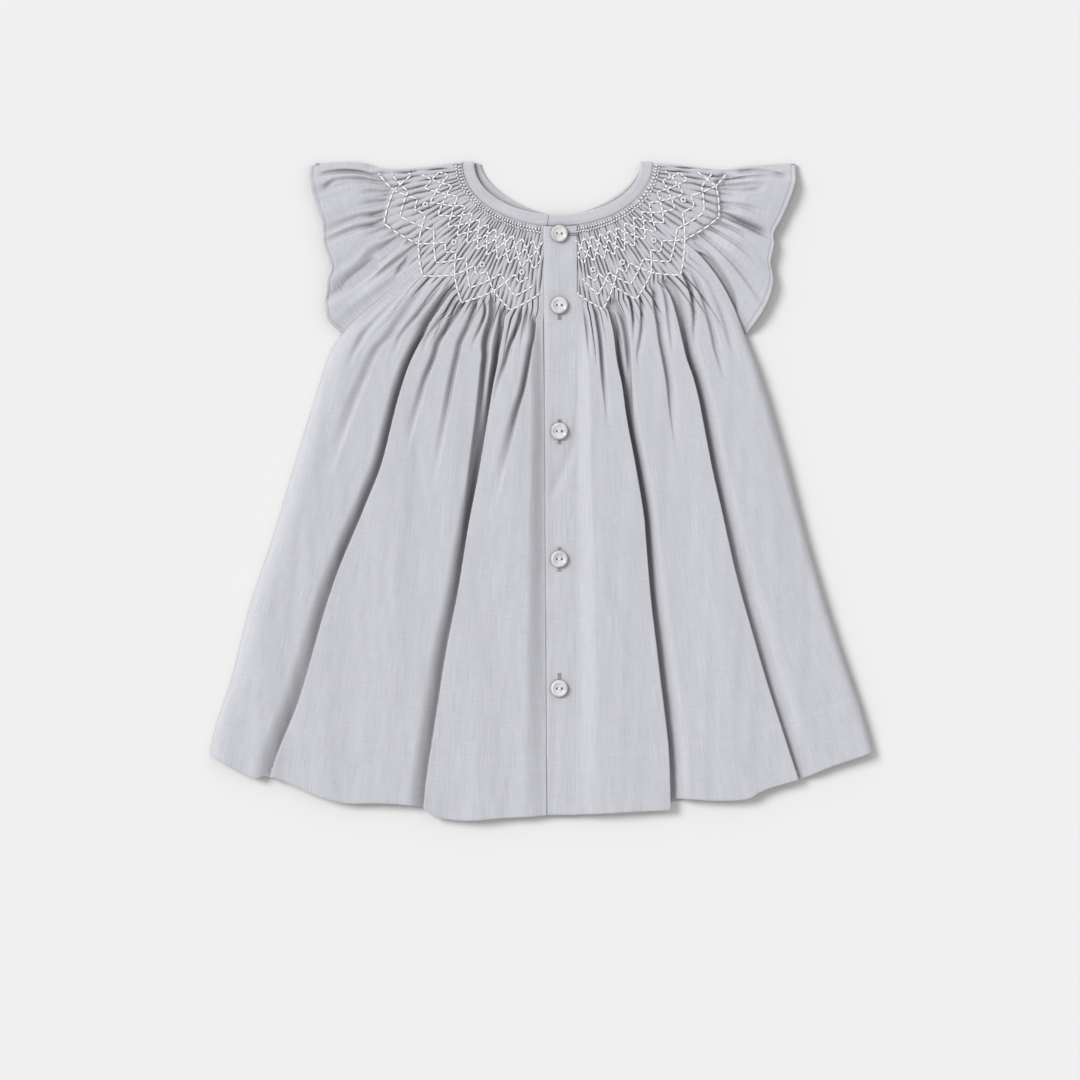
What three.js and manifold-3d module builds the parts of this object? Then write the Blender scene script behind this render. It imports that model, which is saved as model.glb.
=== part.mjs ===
import * as THREE from 'three';
import Module from 'manifold-3d';
import { mergeVertices } from 'three/addons/utils/BufferGeometryUtils.js';

const wasm = await Module();
wasm.setup();

// Driving dimensions in millimetres. The dress lies on its front, seen from its back:
// +X is to the right, +Y towards the shoulders, +Z up from the table.
const CLEARANCE = 0.3;
const CLOTH = 1.25;
const UNDER_LEAF = 1.6;
const NECK = { x: 9.64, y: 195.5 };
const SEAM = { across: 57, drop: 37.8 };
const SMOCKING = { across: 103.2, drop: 88.2, pleats: 25, relief: 1.3, reliefAtNeck: 0.9 };
const BAND = { width: 7.2, thickness: 1.8, under: 2.4, shoulderRound: 1.8, shoulderHollow: 0.2 };
const FRONT_NECK = { shift: 2.1, across: 48.3, drop: 31.2, power: 1.6 };
const PLACKET = { left: 8.4, leftAtHem: 6.3, right: 11.7, under: 3.4, thickness: 1.6, hem: 389.4 };
const UNDER_LAP = { edge: 9.9, fold: 1 };
const SLEEVE = { pleats: 15, foldRound: 1.0, loft: 2.6, loftAtHem: 0.7, swellRun: 0.4, edgeRun: 0.11 };
const FLUTE_RUN = { start: 0.25, spread: 1.4 };
const BUTTON = { radius: 5.1, thickness: 2.2, out: 1.1, holeRadius: 0.75, holeSpacing: 2.6 };
const FLOOR = UNDER_LEAF + CLEARANCE + CLOTH;
const ROOF = UNDER_LEAF + CLEARANCE;

const LEFT = -1;
const RIGHT = 1;

// Side edges of the dress. level: drop of a row of weave at the centre back.
// out and drop: where the same row reaches the side, from the middle of the neck.
const SIDES = {
  [LEFT]: [
    { level: 37.8, out: 43.7, drop: 24.3 },
    { level: 92.2, out: 81.4, drop: 60.5 },
    { level: 112.8, out: 128.7, drop: 101.4 },
    { level: 126.7, out: 136.5, drop: 114.0 },
    { level: 148.5, out: 143.1, drop: 133.8 },
    { level: 200.0, out: 157.5, drop: 180.6 },
    { level: 249.6, out: 171.1, drop: 225.6 },
    { level: 295.0, out: 184.9, drop: 266.9 },
    { level: 340.5, out: 195.2, drop: 308.2 },
    { level: 378.5, out: 206.2, drop: 342.7 },
    { level: 396.5, out: 209.1, drop: 359.0 },
  ],
  [RIGHT]: [
    { level: 37.8, out: 43.7, drop: 24.3 },
    { level: 88.2, out: 82.7, drop: 52.7 },
    { level: 98.0, out: 95.5, drop: 68.0 },
    { level: 105.0, out: 104.7, drop: 84.5 },
    { level: 112.8, out: 112.4, drop: 103.1 },
    { level: 133.8, out: 119.6, drop: 121.9 },
    { level: 161.3, out: 127.4, drop: 146.6 },
    { level: 196.2, out: 136.5, drop: 177.9 },
    { level: 250.2, out: 149.3, drop: 226.3 },
    { level: 313.0, out: 166.4, drop: 282.7 },
    { level: 356.9, out: 180.0, drop: 322.0 },
    { level: 396.5, out: 190.6, drop: 357.7 },
  ],
};
const UNDERARM = 112.8;

// Where the scalloped edge of the smocking turns. turn: degrees round the neck from the
// centre back. reach: share of the smocking ellipse.
const SCALLOPS = {
  [LEFT]: [
    { turn: 0.0, reach: 0.93 },
    { turn: 6.8, reach: 0.9 },
    { turn: 15.2, reach: 1.04 },
    { turn: 22.0, reach: 0.956 },
    { turn: 29.3, reach: 1.095 },
    { turn: 37.0, reach: 0.98 },
    { turn: 44.5, reach: 1.095 },
    { turn: 55.5, reach: 0.974 },
    { turn: 68.0, reach: 1.084 },
    { turn: 80.4, reach: 0.959 },
    { turn: 90.0, reach: 1.03 },
  ],
  [RIGHT]: [
    { turn: 0.0, reach: 0.93 },
    { turn: 7.0, reach: 0.889 },
    { turn: 15.1, reach: 1.028 },
    { turn: 20.8, reach: 0.894 },
    { turn: 26.5, reach: 1.031 },
    { turn: 35.7, reach: 0.922 },
    { turn: 43.4, reach: 1.043 },
    { turn: 54.1, reach: 0.894 },
    { turn: 69.1, reach: 1.002 },
    { turn: 82.0, reach: 0.926 },
    { turn: 90.0, reach: 1.0 },
  ],
};

// Folds that start under the smocking, from the placket outwards. bust, chest, waist, knee and
// hem: share of the panel's width at the levels in FOLD_LEVELS. until: level where the fold has
// gone. depth and depthAtHem: how far it dips. near and far: half widths towards the placket
// and away from it.
const FOLD_LEVELS = { bust: 96, chest: 117, ribs: 150, waist: 220, knee: 300, hem: 394 };

// Over what lengths the folds come and go. startRun: below the smocking. endShare: share of
// until at which a fold starts to fade. spread: how much wider it is once spreadRun below the
// chest. stationRun: where its faces turn, in half widths.
const FOLD_FADE = { startRun: 14, endShare: 0.7, spread: 1.5, spreadRun: 200, stationRun: 1.1 };

// How the panel rises from its long edges. seamRise: height beside the placket's right edge.
const EDGES = { seamRise: 1.7, placketRun: 9, sideRun: 16, sideLift: 1, sideStation: 4 };
const FOLDS = {
  [LEFT]: [
    { bust: 0.06, chest: 0.06, ribs: 0.114, waist: 0.18, knee: 0.2, hem: 0.22,
      until: 215, depth: 2.2, depthAtHem: 0, near: 4, far: 5 },
    { bust: 0.155, chest: 0.165, ribs: 0.2, waist: 0.235, knee: 0.26, hem: 0.29,
      until: 150, depth: 1.6, depthAtHem: 0, near: 3, far: 4 },
    { bust: 0.3, chest: 0.245, ribs: 0.26, waist: 0.292, knee: 0.326, hem: 0.355,
      until: 420, depth: 3.8, depthAtHem: 2.6, near: 3, far: 9 },
    { bust: 0.47, chest: 0.402, ribs: 0.415, waist: 0.45, knee: 0.48, hem: 0.51,
      until: 200, depth: 2.4, depthAtHem: 0, near: 4, far: 5 },
    { bust: 0.555, chest: 0.508, ribs: 0.545, waist: 0.58, knee: 0.62, hem: 0.66,
      until: 175, depth: 1.8, depthAtHem: 0, near: 4, far: 5 },
    { bust: 0.68, chest: 0.606, ribs: 0.633, waist: 0.69, knee: 0.752, hem: 0.82,
      until: 420, depth: 3.4, depthAtHem: 2.4, near: 4, far: 14 },
    { bust: 0.86, chest: 0.782, ribs: 0.82, waist: 0.86, knee: 0.89, hem: 0.92,
      until: 205, depth: 1.8, depthAtHem: 0, near: 6, far: 7 },
  ],
  [RIGHT]: [
    { bust: 0.09, chest: 0.1, ribs: 0.11, waist: 0.13, knee: 0.15, hem: 0.16,
      until: 135, depth: 1.2, depthAtHem: 0, near: 3, far: 3 },
    { bust: 0.25, chest: 0.255, ribs: 0.258, waist: 0.3, knee: 0.312, hem: 0.325,
      until: 420, depth: 4.0, depthAtHem: 3.0, near: 3, far: 8 },
    { bust: 0.42, chest: 0.35, ribs: 0.38, waist: 0.41, knee: 0.44, hem: 0.47,
      until: 135, depth: 1.8, depthAtHem: 0, near: 3, far: 4 },
    { bust: 0.53, chest: 0.485, ribs: 0.484, waist: 0.51, knee: 0.54, hem: 0.58,
      until: 170, depth: 2.4, depthAtHem: 0, near: 4, far: 5 },
    { bust: 0.695, chest: 0.622, ribs: 0.635, waist: 0.653, knee: 0.69, hem: 0.735,
      until: 420, depth: 3.4, depthAtHem: 2.4, near: 3, far: 13 },
    { bust: 0.82, chest: 0.75, ribs: 0.77, waist: 0.8, knee: 0.83, hem: 0.86,
      until: 150, depth: 1.6, depthAtHem: 0, near: 4, far: 5 },
  ],
};

// How far the cloth stands off the table between its folds, by level.
const LOFT = [
  { level: 37.8, rise: 0 },
  { level: 88.0, rise: 0.3 },
  { level: 112.8, rise: 2.2 },
  { level: 150.0, rise: 4.2 },
  { level: 220.0, rise: 4.6 },
  { level: 320.0, rise: 3.8 },
  { level: 396.5, rise: 2.4 },
];

// The wavy hem. share: place across the panel. level: drop of the hem's own row of weave.
const HEM = {
  [LEFT]: [
    { share: 0.0, level: 390.0 },
    { share: 0.26, level: 395.9 },
    { share: 0.32, level: 395.4 },
    { share: 0.355, level: 390.4 },
    { share: 0.49, level: 392.1 },
    { share: 0.61, level: 396.3 },
    { share: 0.78, level: 391.5 },
    { share: 0.83, level: 392.5 },
    { share: 0.85, level: 395.8 },
    { share: 1.0, level: 391.0 },
  ],
  [RIGHT]: [
    { share: 0.0, level: 389.6 },
    { share: 0.295, level: 391.4 },
    { share: 0.325, level: 385.2 },
    { share: 0.466, level: 390.8 },
    { share: 0.567, level: 393.5 },
    { share: 0.656, level: 390.3 },
    { share: 0.746, level: 390.4 },
    { share: 0.85, level: 389.2 },
    { share: 1.0, level: 390.3 },
  ],
};

// Sleeve edges from the underarm up to the shoulder, from the middle of the neck.
const SLEEVE_HEMS = {
  [LEFT]: [
    { out: 128.7, drop: 101.4 },
    { out: 138.3, drop: 91.8 },
    { out: 139.5, drop: 83.4 },
    { out: 137.7, drop: 69.6 },
    { out: 135.3, drop: 62.4 },
    { out: 139.5, drop: 50.4 },
    { out: 140.4, drop: 39.6 },
    { out: 144.3, drop: 26.4 },
    { out: 147.3, drop: 11.4 },
    { out: 147.9, drop: 3.2 },
    { out: 144.9, drop: 0.6 },
  ],
  [RIGHT]: [
    { out: 112.4, drop: 103.1 },
    { out: 122.8, drop: 88.7 },
    { out: 128.0, drop: 76.3 },
    { out: 129.0, drop: 70.1 },
    { out: 127.4, drop: 59.8 },
    { out: 129.5, drop: 47.9 },
    { out: 129.4, drop: 43.6 },
    { out: 134.2, drop: 32.9 },
    { out: 140.9, drop: 16.4 },
    { out: 144.0, drop: 6.5 },
    { out: 143.5, drop: 0.9 },
  ],
};

// How far the folded shoulder dips below its straight line, by distance out.
const SHOULDERS = {
  [LEFT]: [
    { out: 57.0, dip: 0.0 },
    { out: 82.5, dip: 3.3 },
    { out: 97.5, dip: 4.2 },
    { out: 105.9, dip: 3.6 },
    { out: 119.7, dip: -0.3 },
    { out: 133.0, dip: -0.9 },
    { out: 144.9, dip: 0.6 },
  ],
  [RIGHT]: [
    { out: 57.0, dip: 0.4 },
    { out: 82.5, dip: 2.9 },
    { out: 99.0, dip: 4.5 },
    { out: 113.5, dip: 3.2 },
    { out: 134.1, dip: 2.2 },
    { out: 143.5, dip: 0.9 },
  ],
};

// Flutes of the sleeves, from the raglan seam to the shoulder. top and hem: share of the
// sleeve's width at the smocking and at the sleeve hem. width: half width as such a share.
const FLUTES = {
  [LEFT]: [
    { top: 0.14, hem: 0.08, depth: 1.2, width: 0.05 },
    { top: 0.29, hem: 0.22, depth: 2.2, width: 0.06 },
    { top: 0.52, hem: 0.56, depth: 2.0, width: 0.06 },
    { top: 0.72, hem: 0.72, depth: 1.2, width: 0.05 },
    { top: 0.87, hem: 0.88, depth: 1.6, width: 0.04 },
  ],
  [RIGHT]: [
    { top: 0.12, hem: 0.18, depth: 1.6, width: 0.05 },
    { top: 0.3, hem: 0.38, depth: 1.2, width: 0.05 },
    { top: 0.48, hem: 0.58, depth: 2.3, width: 0.05 },
    { top: 0.68, hem: 0.76, depth: 1.4, width: 0.05 },
    { top: 0.87, hem: 0.9, depth: 1.5, width: 0.04 },
  ],
};

// Buttons: drop of each one below the shoulder line.
const BUTTON_DROPS = [42.3, 85.2, 160.5, 237.0, 314.4];

const YOKE_SHARES = [0, 0.28, 0.52, 0.76, 0.9, 1];
const SKIRT_LEVELS = [98, 105, 112.8, 124, 140, 160, 185, 215, 250, 285, 320, 357];
const FRONT_LEVELS = [37.8, 64, 88.2, 92.2, 98, 105, 112.8, 126.7, 148.5, 200, 250, 313, 357, 387];
const SLEEVE_YOKE_SHARES = [0, 0.35, 0.7, 1];
const FLUTTER_SHARES = [0.2, 0.4, 0.68, 0.84, 1];
const PLACKET_LEVELS = [SEAM.drop, 64, 98, 140, 185, 250, 320, PLACKET.hem];
const PLAIN_STEPS = 12;
const BAND_STEPS = 14;

function lerp(a, b, share) {
  return a + (b - a) * share;
}

function smooth(x) {
  const t = Math.min(1, Math.max(0, x));
  return t * t * (3 - 2 * t);
}

// Reads column value of a table at a place along column key, straight between its rows.
function read(table, key, place, value) {
  if (place <= table[0][key]) return table[0][value];
  for (let i = 1; i < table.length; i += 1) {
    const a = table[i - 1];
    const b = table[i];
    if (place <= b[key]) return lerp(a[value], b[value], (place - a[key]) / (b[key] - a[key]));
  }
  return table[table.length - 1][value];
}

function degrees(angle) {
  return (angle * 180) / Math.PI;
}

function radians(angle) {
  return (angle * Math.PI) / 180;
}

// A point given by its distance out from the centre back on one side, its drop and height.
function place(side, out, drop, z) {
  return new THREE.Vector3(NECK.x + side * out, NECK.y - drop, z);
}

// Every row of weave is an elliptical arc round the neck.
function arc(side, level, nearEdge) {
  const out = read(SIDES[side], 'level', level, 'out');
  const drop = read(SIDES[side], 'level', level, 'drop');
  const last = Math.acos(drop / level);
  const across = out / Math.sin(last);
  const first = Math.asin(nearEdge / across);
  return { across, first, last, length: across * (last - first) };
}

function nearEdge(side, level) {
  if (side === RIGHT) return PLACKET.right + CLEARANCE;
  const down = (level - SEAM.drop) / (SIDES[side].at(-1).level - SEAM.drop);
  return lerp(PLACKET.left, PLACKET.leftAtHem, down);
}

function panelPoint(side, share, level, z, edge = nearEdge(side, level)) {
  const row = arc(side, level, edge);
  const turn = lerp(row.first, row.last, share);
  return place(side, row.across * Math.sin(turn), level * Math.cos(turn), z);
}

function scallopLevel(side, share) {
  const row = arc(side, SMOCKING.drop, nearEdge(side, SMOCKING.drop));
  const turn = degrees(lerp(row.first, row.last, share));
  if (share === 1) return SIDES[side][1].level;
  return SMOCKING.drop * read(SCALLOPS[side], 'turn', turn, 'reach');
}

function foldShare(fold, level) {
  const path = Object.entries(FOLD_LEVELS).map(([name, at]) => ({ at, share: fold[name] }));
  return read(path, 'at', level, 'share');
}

// Depth of one fold at a place: a soft dip, steeper on its narrow side.
function dip(fold, level, share, rowLength) {
  const offset = (share - foldShare(fold, level)) * rowLength;
  const half = offset < 0 ? fold.near : fold.far;
  const spread = lerp(1, FOLD_FADE.spread, smooth((level - FOLD_LEVELS.chest) / FOLD_FADE.spreadRun));
  const shape = 1 - smooth(Math.abs(offset) / (half * spread));
  const start = smooth((level - SMOCKING.drop) / FOLD_FADE.startRun);
  if (fold.depthAtHem > 0) {
    const down = (level - FOLD_LEVELS.chest) / (FOLD_LEVELS.hem - FOLD_LEVELS.chest);
    return lerp(fold.depth, fold.depthAtHem, smooth(down)) * shape * start;
  }
  const fadeFrom = fold.until * FOLD_FADE.endShare;
  return fold.depth * shape * start * (1 - smooth((level - fadeFrom) / (fold.until - fadeFrom)));
}

// Height of the cloth's upper face below the smocking.
function clothHeight(side, share, level) {
  const row = arc(side, level, nearEdge(side, level));
  const fromPlacket = share * row.length;
  const fromSide = (1 - share) * row.length;
  const edgeRise = side === RIGHT ? EDGES.seamRise : 0;
  const rise = read(LOFT, 'level', level, 'rise');
  let height = lerp(edgeRise, rise, smooth(fromPlacket / EDGES.placketRun));
  height *= smooth((fromSide + EDGES.sideLift) / EDGES.sideRun);
  for (const fold of FOLDS[side]) height -= dip(fold, level, share, row.length);
  return FLOOR + Math.max(height, 0);
}

// Places across a panel where its faces turn: three for each fold, and one between folds.
function foldStations(side, level) {
  const length = arc(side, level, nearEdge(side, level)).length;
  const centres = FOLDS[side].map((fold) => foldShare(fold, level));
  const widest = 0.4;
  const stations = [0, lerp(0, centres[0], 0.3)];
  centres.forEach((centre, i) => {
    const previous = centres[i - 1] ?? 0;
    const next = centres[i + 1] ?? 1;
    const near = (FOLDS[side][i].near * FOLD_FADE.stationRun) / length;
    const far = (FOLDS[side][i].far * FOLD_FADE.stationRun) / length;
    stations.push(centre - Math.min((centre - previous) * widest, near));
    stations.push(centre);
    stations.push(centre + Math.min((next - centre) * widest, far));
    stations.push(lerp(centre, next, 0.5));
  });
  stations.push(1 - EDGES.sideStation / length, 1);
  return stations;
}

// Closes a wall between its outer and inner rows of points. Rows may differ in their number of
// points: at holds each point's place along its row, and neighbours are joined in that order.
function wall(outerRows, innerRows) {
  const position = [];
  const index = [];
  const numbered = (row) => {
    const first = position.length / 3;
    row.points.forEach((point) => position.push(point.x, point.y, point.z));
    return { at: row.at, id: row.points.map((point, i) => first + i) };
  };
  const outer = outerRows.map(numbered);
  const inner = innerRows.map(numbered);
  const strip = (a, b) => {
    let i = 0;
    let j = 0;
    while (i < a.id.length - 1 || j < b.id.length - 1) {
      const stepA = j === b.id.length - 1 || (i < a.id.length - 1 && a.at[i + 1] <= b.at[j + 1]);
      if (stepA) {
        index.push(a.id[i], b.id[j], a.id[i + 1]);
        i += 1;
      } else {
        index.push(a.id[i], b.id[j], b.id[j + 1]);
        j += 1;
      }
    }
  };
  const last = outer.length - 1;
  for (let i = 0; i < last; i += 1) {
    const [o, p, n, m] = [outer[i].id, outer[i + 1].id, inner[i].id, inner[i + 1].id];
    strip(outer[i], outer[i + 1]);
    strip(inner[i + 1], inner[i]);
    index.push(p[0], o[0], n[0], p[0], n[0], m[0]);
    index.push(o.at(-1), p.at(-1), m.at(-1), o.at(-1), m.at(-1), n.at(-1));
  }
  strip(inner[0], outer[0]);
  strip(outer[last], inner[last]);
  const geometry = new THREE.BufferGeometry();
  geometry.setAttribute('position', new THREE.Float32BufferAttribute(position, 3));
  geometry.setIndex(facingOut(position, index));
  geometry.computeVertexNormals();
  return geometry;
}

function facingOut(position, index) {
  const corner = (i) => new THREE.Vector3().fromArray(position, index[i] * 3);
  let volume = 0;
  for (let i = 0; i < index.length; i += 3) {
    volume += corner(i).dot(corner(i + 1).cross(corner(i + 2)));
  }
  return volume > 0 ? index : index.slice().reverse();
}

// Inner heights that keep the wall's thickness where the outer face slopes.
function innerHeights(points) {
  const shortestRun = 0.5;
  const thickest = CLOTH * 1.5;
  return points.map((point, i) => {
    const before = points[Math.max(i - 1, 0)];
    const after = points[Math.min(i + 1, points.length - 1)];
    const run = Math.hypot(after.x - before.x, after.y - before.y);
    const slope = (after.z - before.z) / Math.max(run, shortestRun);
    const drop = Math.min(CLOTH * Math.hypot(1, slope), thickest);
    return Math.max(point.z - drop, ROOF);
  });
}

function lowered(row) {
  const heights = innerHeights(row.points);
  const points = row.points.map((point, i) => new THREE.Vector3(point.x, point.y, heights[i]));
  return { at: row.at, points };
}

// The under-lap of the left panel runs on below the placket, low and flat.
function withLap(side, row, level, z) {
  if (side === RIGHT) return row;
  const points = [UNDER_LAP.edge, UNDER_LAP.fold].map((out) => place(side, -out, level, z));
  return { at: [-2, -1, ...row.at], points: [...points, ...row.points] };
}

// Height of the pleats from the neck seam, share 0, to the smocking's edge, share 1.
function reliefAt(share) {
  return lerp(SMOCKING.reliefAtNeck, SMOCKING.relief, share);
}

function yokeRow(side, share, steps, relief) {
  const at = Array.from({ length: steps + 1 }, (_, k) => k / steps);
  const points = at.map((across, k) => {
    const level = lerp(SEAM.drop, scallopLevel(side, across), share);
    const z = relief === null ? ROOF : FLOOR + (k % 2) * relief;
    return panelPoint(side, across, level, z);
  });
  const lapLevel = lerp(SEAM.drop, scallopLevel(side, 0), share);
  return withLap(side, { at, points }, lapLevel, relief === null ? ROOF : PLACKET.under - CLEARANCE);
}

function skirtRow(side, levelAt) {
  const middle = levelAt(0.5);
  const at = foldStations(side, middle);
  const points = at.map((share) => {
    const level = levelAt(share);
    return panelPoint(side, share, level, clothHeight(side, share, level));
  });
  return withLap(side, { at, points }, levelAt(0), PLACKET.under - CLEARANCE);
}

function backPanel(side) {
  const outer = YOKE_SHARES.map((share) => yokeRow(side, share, SMOCKING.pleats * 2, reliefAt(share)));
  const inner = YOKE_SHARES.map((share) => yokeRow(side, share, PLAIN_STEPS, null));
  for (const level of SKIRT_LEVELS) outer.push(skirtRow(side, () => level));
  outer.push(skirtRow(side, (share) => read(HEM[side], 'share', share, 'level')));
  for (const row of outer.slice(YOKE_SHARES.length)) inner.push(lowered(row));
  return wall(outer, inner);
}

function frontPanel() {
  const shares = Array.from({ length: 8 }, (_, k) => (k + 1) / 8);
  const row = (level, z) => {
    const points = [
      ...shares.slice().reverse().map((share) => panelPoint(LEFT, share, level, z, 0)),
      place(LEFT, 0, level, z),
      ...shares.map((share) => panelPoint(RIGHT, share, level, z, 0)),
    ];
    return { at: points.map((_, i) => i), points };
  };
  return wall(FRONT_LEVELS.map((level) => row(level, UNDER_LEAF)),
    FRONT_LEVELS.map((level) => row(level, 0)));
}

// A patch between two curves and the two sides that join them.
function patch(first, last, near, far) {
  return (along, across) => {
    const a = first(across);
    const b = last(across);
    const between = (x, y) => lerp(x, y, along);
    const [a0, b0, a1, b1] = [first(0), last(0), first(1), last(1)];
    const [n, f] = [near(along), far(along)];
    const blend = (key) => between(a[key], b[key])
      + (1 - across) * (n[key] - between(a0[key], b0[key]))
      + across * (f[key] - between(a1[key], b1[key]));
    return { out: blend('out'), drop: blend('drop') };
  };
}

function ellipsePoint(across, drop, turn) {
  return { out: across * Math.sin(radians(turn)), drop: drop * Math.cos(radians(turn)) };
}

// A point along a table of out and drop, by its share of the whole length.
function along(table, share) {
  const lengths = [0];
  for (let i = 1; i < table.length; i += 1) {
    const step = Math.hypot(table[i].out - table[i - 1].out, table[i].drop - table[i - 1].drop);
    lengths.push(lengths[i - 1] + step);
  }
  const rows = table.map((row, i) => ({ at: lengths[i] / lengths.at(-1), ...row }));
  return { out: read(rows, 'at', share, 'out'), drop: read(rows, 'at', share, 'drop') };
}

function sleevePatches(side) {
  const seamEdge = SIDES[side][0];
  const smockEdge = SIDES[side][1];
  const seamTurn = degrees(Math.atan2(seamEdge.out / SEAM.across, seamEdge.drop / SEAM.drop));
  const smockTurn = degrees(Math.atan2(smockEdge.out / SMOCKING.across, smockEdge.drop / SMOCKING.drop));
  const neck = (v) => ellipsePoint(SEAM.across, SEAM.drop, lerp(seamTurn, 90, v));
  const scallops = (v) => {
    const turn = lerp(smockTurn, 90, v);
    const reach = v === 0 ? smockEdge.level / SMOCKING.drop : read(SCALLOPS[side], 'turn', turn, 'reach');
    return ellipsePoint(SMOCKING.across * reach, SMOCKING.drop * reach, turn);
  };
  const hem = (v) => along(SLEEVE_HEMS[side], v);
  const gap = CLEARANCE * 1.2;
  const raglan = (from, to) => (u) => {
    const level = lerp(from, to, u);
    return {
      out: read(SIDES[side], 'level', level, 'out') + gap,
      drop: read(SIDES[side], 'level', level, 'drop') - gap,
    };
  };
  const shoulder = (from, to) => (u) => {
    const out = lerp(from, to, u);
    return { out, drop: read(SHOULDERS[side], 'out', out, 'dip') };
  };
  return {
    yoke: patch(neck, scallops, raglan(SEAM.drop, smockEdge.level), shoulder(SEAM.across, scallops(1).out)),
    flutter: patch(scallops, hem, raglan(smockEdge.level, UNDERARM), shoulder(scallops(1).out, hem(1).out)),
  };
}

function fluteStations(side, along) {
  const stations = [0];
  FLUTES[side].forEach((flute, i) => {
    const centre = lerp(flute.top, flute.hem, along);
    const next = FLUTES[side][i + 1];
    const nextCentre = next ? lerp(next.top, next.hem, along) : 1;
    stations.push(centre - flute.width, centre, centre + flute.width);
    if (next) stations.push(lerp(centre, nextCentre, 0.5));
  });
  const shoulderStation = 0.97;
  stations.push(shoulderStation, 1);
  return stations;
}

function sleeveHeight(side, along, across) {
  const swell = SLEEVE.loft * smooth(along / SLEEVE.swellRun) * lerp(1, SLEEVE.loftAtHem, along);
  const edgeLift = 0.1;
  const fromEdges = (share) => smooth(share / SLEEVE.edgeRun + edgeLift);
  let height = swell * fromEdges(across) * fromEdges(1 - across);
  for (const flute of FLUTES[side]) {
    const centre = lerp(flute.top, flute.hem, along);
    const shape = 1 - smooth(Math.abs(across - centre) / (flute.width * FLUTE_RUN.spread));
    height -= flute.depth * shape * smooth(along / FLUTE_RUN.start);
  }
  return FLOOR + Math.max(height, 0);
}

// One row of a sleeve: its upper leaf, the fold at the shoulder, and its lower leaf.
function sleeveRow(side, spot, at, heightAt, leafZ, foldOut) {
  const point = (v, z, shift = 0) => {
    const { out, drop } = spot(v);
    return place(side, out, drop - shift, z);
  };
  const lower = [1, 0.8, 0.6, 0.4, 0.2, 0];
  const foldShift = (v) => (v === 1 ? foldOut * 0.4 : 0);
  const top = at.map((v, k) => point(v, heightAt(v, k), foldShift(v)));
  const turn = point(1, lerp(top.at(-1).z, leafZ, 0.5), foldOut);
  return {
    at: [...at, 1.1, ...lower.map((v) => 2.2 - v)],
    points: [...top, turn, ...lower.map((v) => point(v, leafZ, foldShift(v)))],
  };
}

function sleeve(side) {
  const patches = sleevePatches(side);
  const outer = [];
  const inner = [];
  const insideFold = SLEEVE.foldRound - CLOTH;
  const pleated = Array.from({ length: SLEEVE.pleats * 2 + 1 }, (_, k) => k / (SLEEVE.pleats * 2));
  const plain = Array.from({ length: 7 }, (_, k) => k / 6);
  for (const share of SLEEVE_YOKE_SHARES) {
    const spot = (v) => patches.yoke(share, v);
    const relief = (v, k) => FLOOR + (k % 2) * reliefAt(share);
    outer.push(sleeveRow(side, spot, pleated, relief, 0, SLEEVE.foldRound));
    inner.push(sleeveRow(side, spot, plain, () => ROOF, UNDER_LEAF, insideFold));
  }
  for (const share of FLUTTER_SHARES) {
    const spot = (v) => patches.flutter(share, v);
    const at = fluteStations(side, share);
    const heights = at.map((v) => sleeveHeight(side, share, v));
    outer.push(sleeveRow(side, spot, at, (v, k) => heights[k], 0, SLEEVE.foldRound));
    inner.push(sleeveRow(side, spot, at, (v, k) => heights[k] - CLOTH, UNDER_LEAF, insideFold));
  }
  return wall(outer, inner);
}

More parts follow.
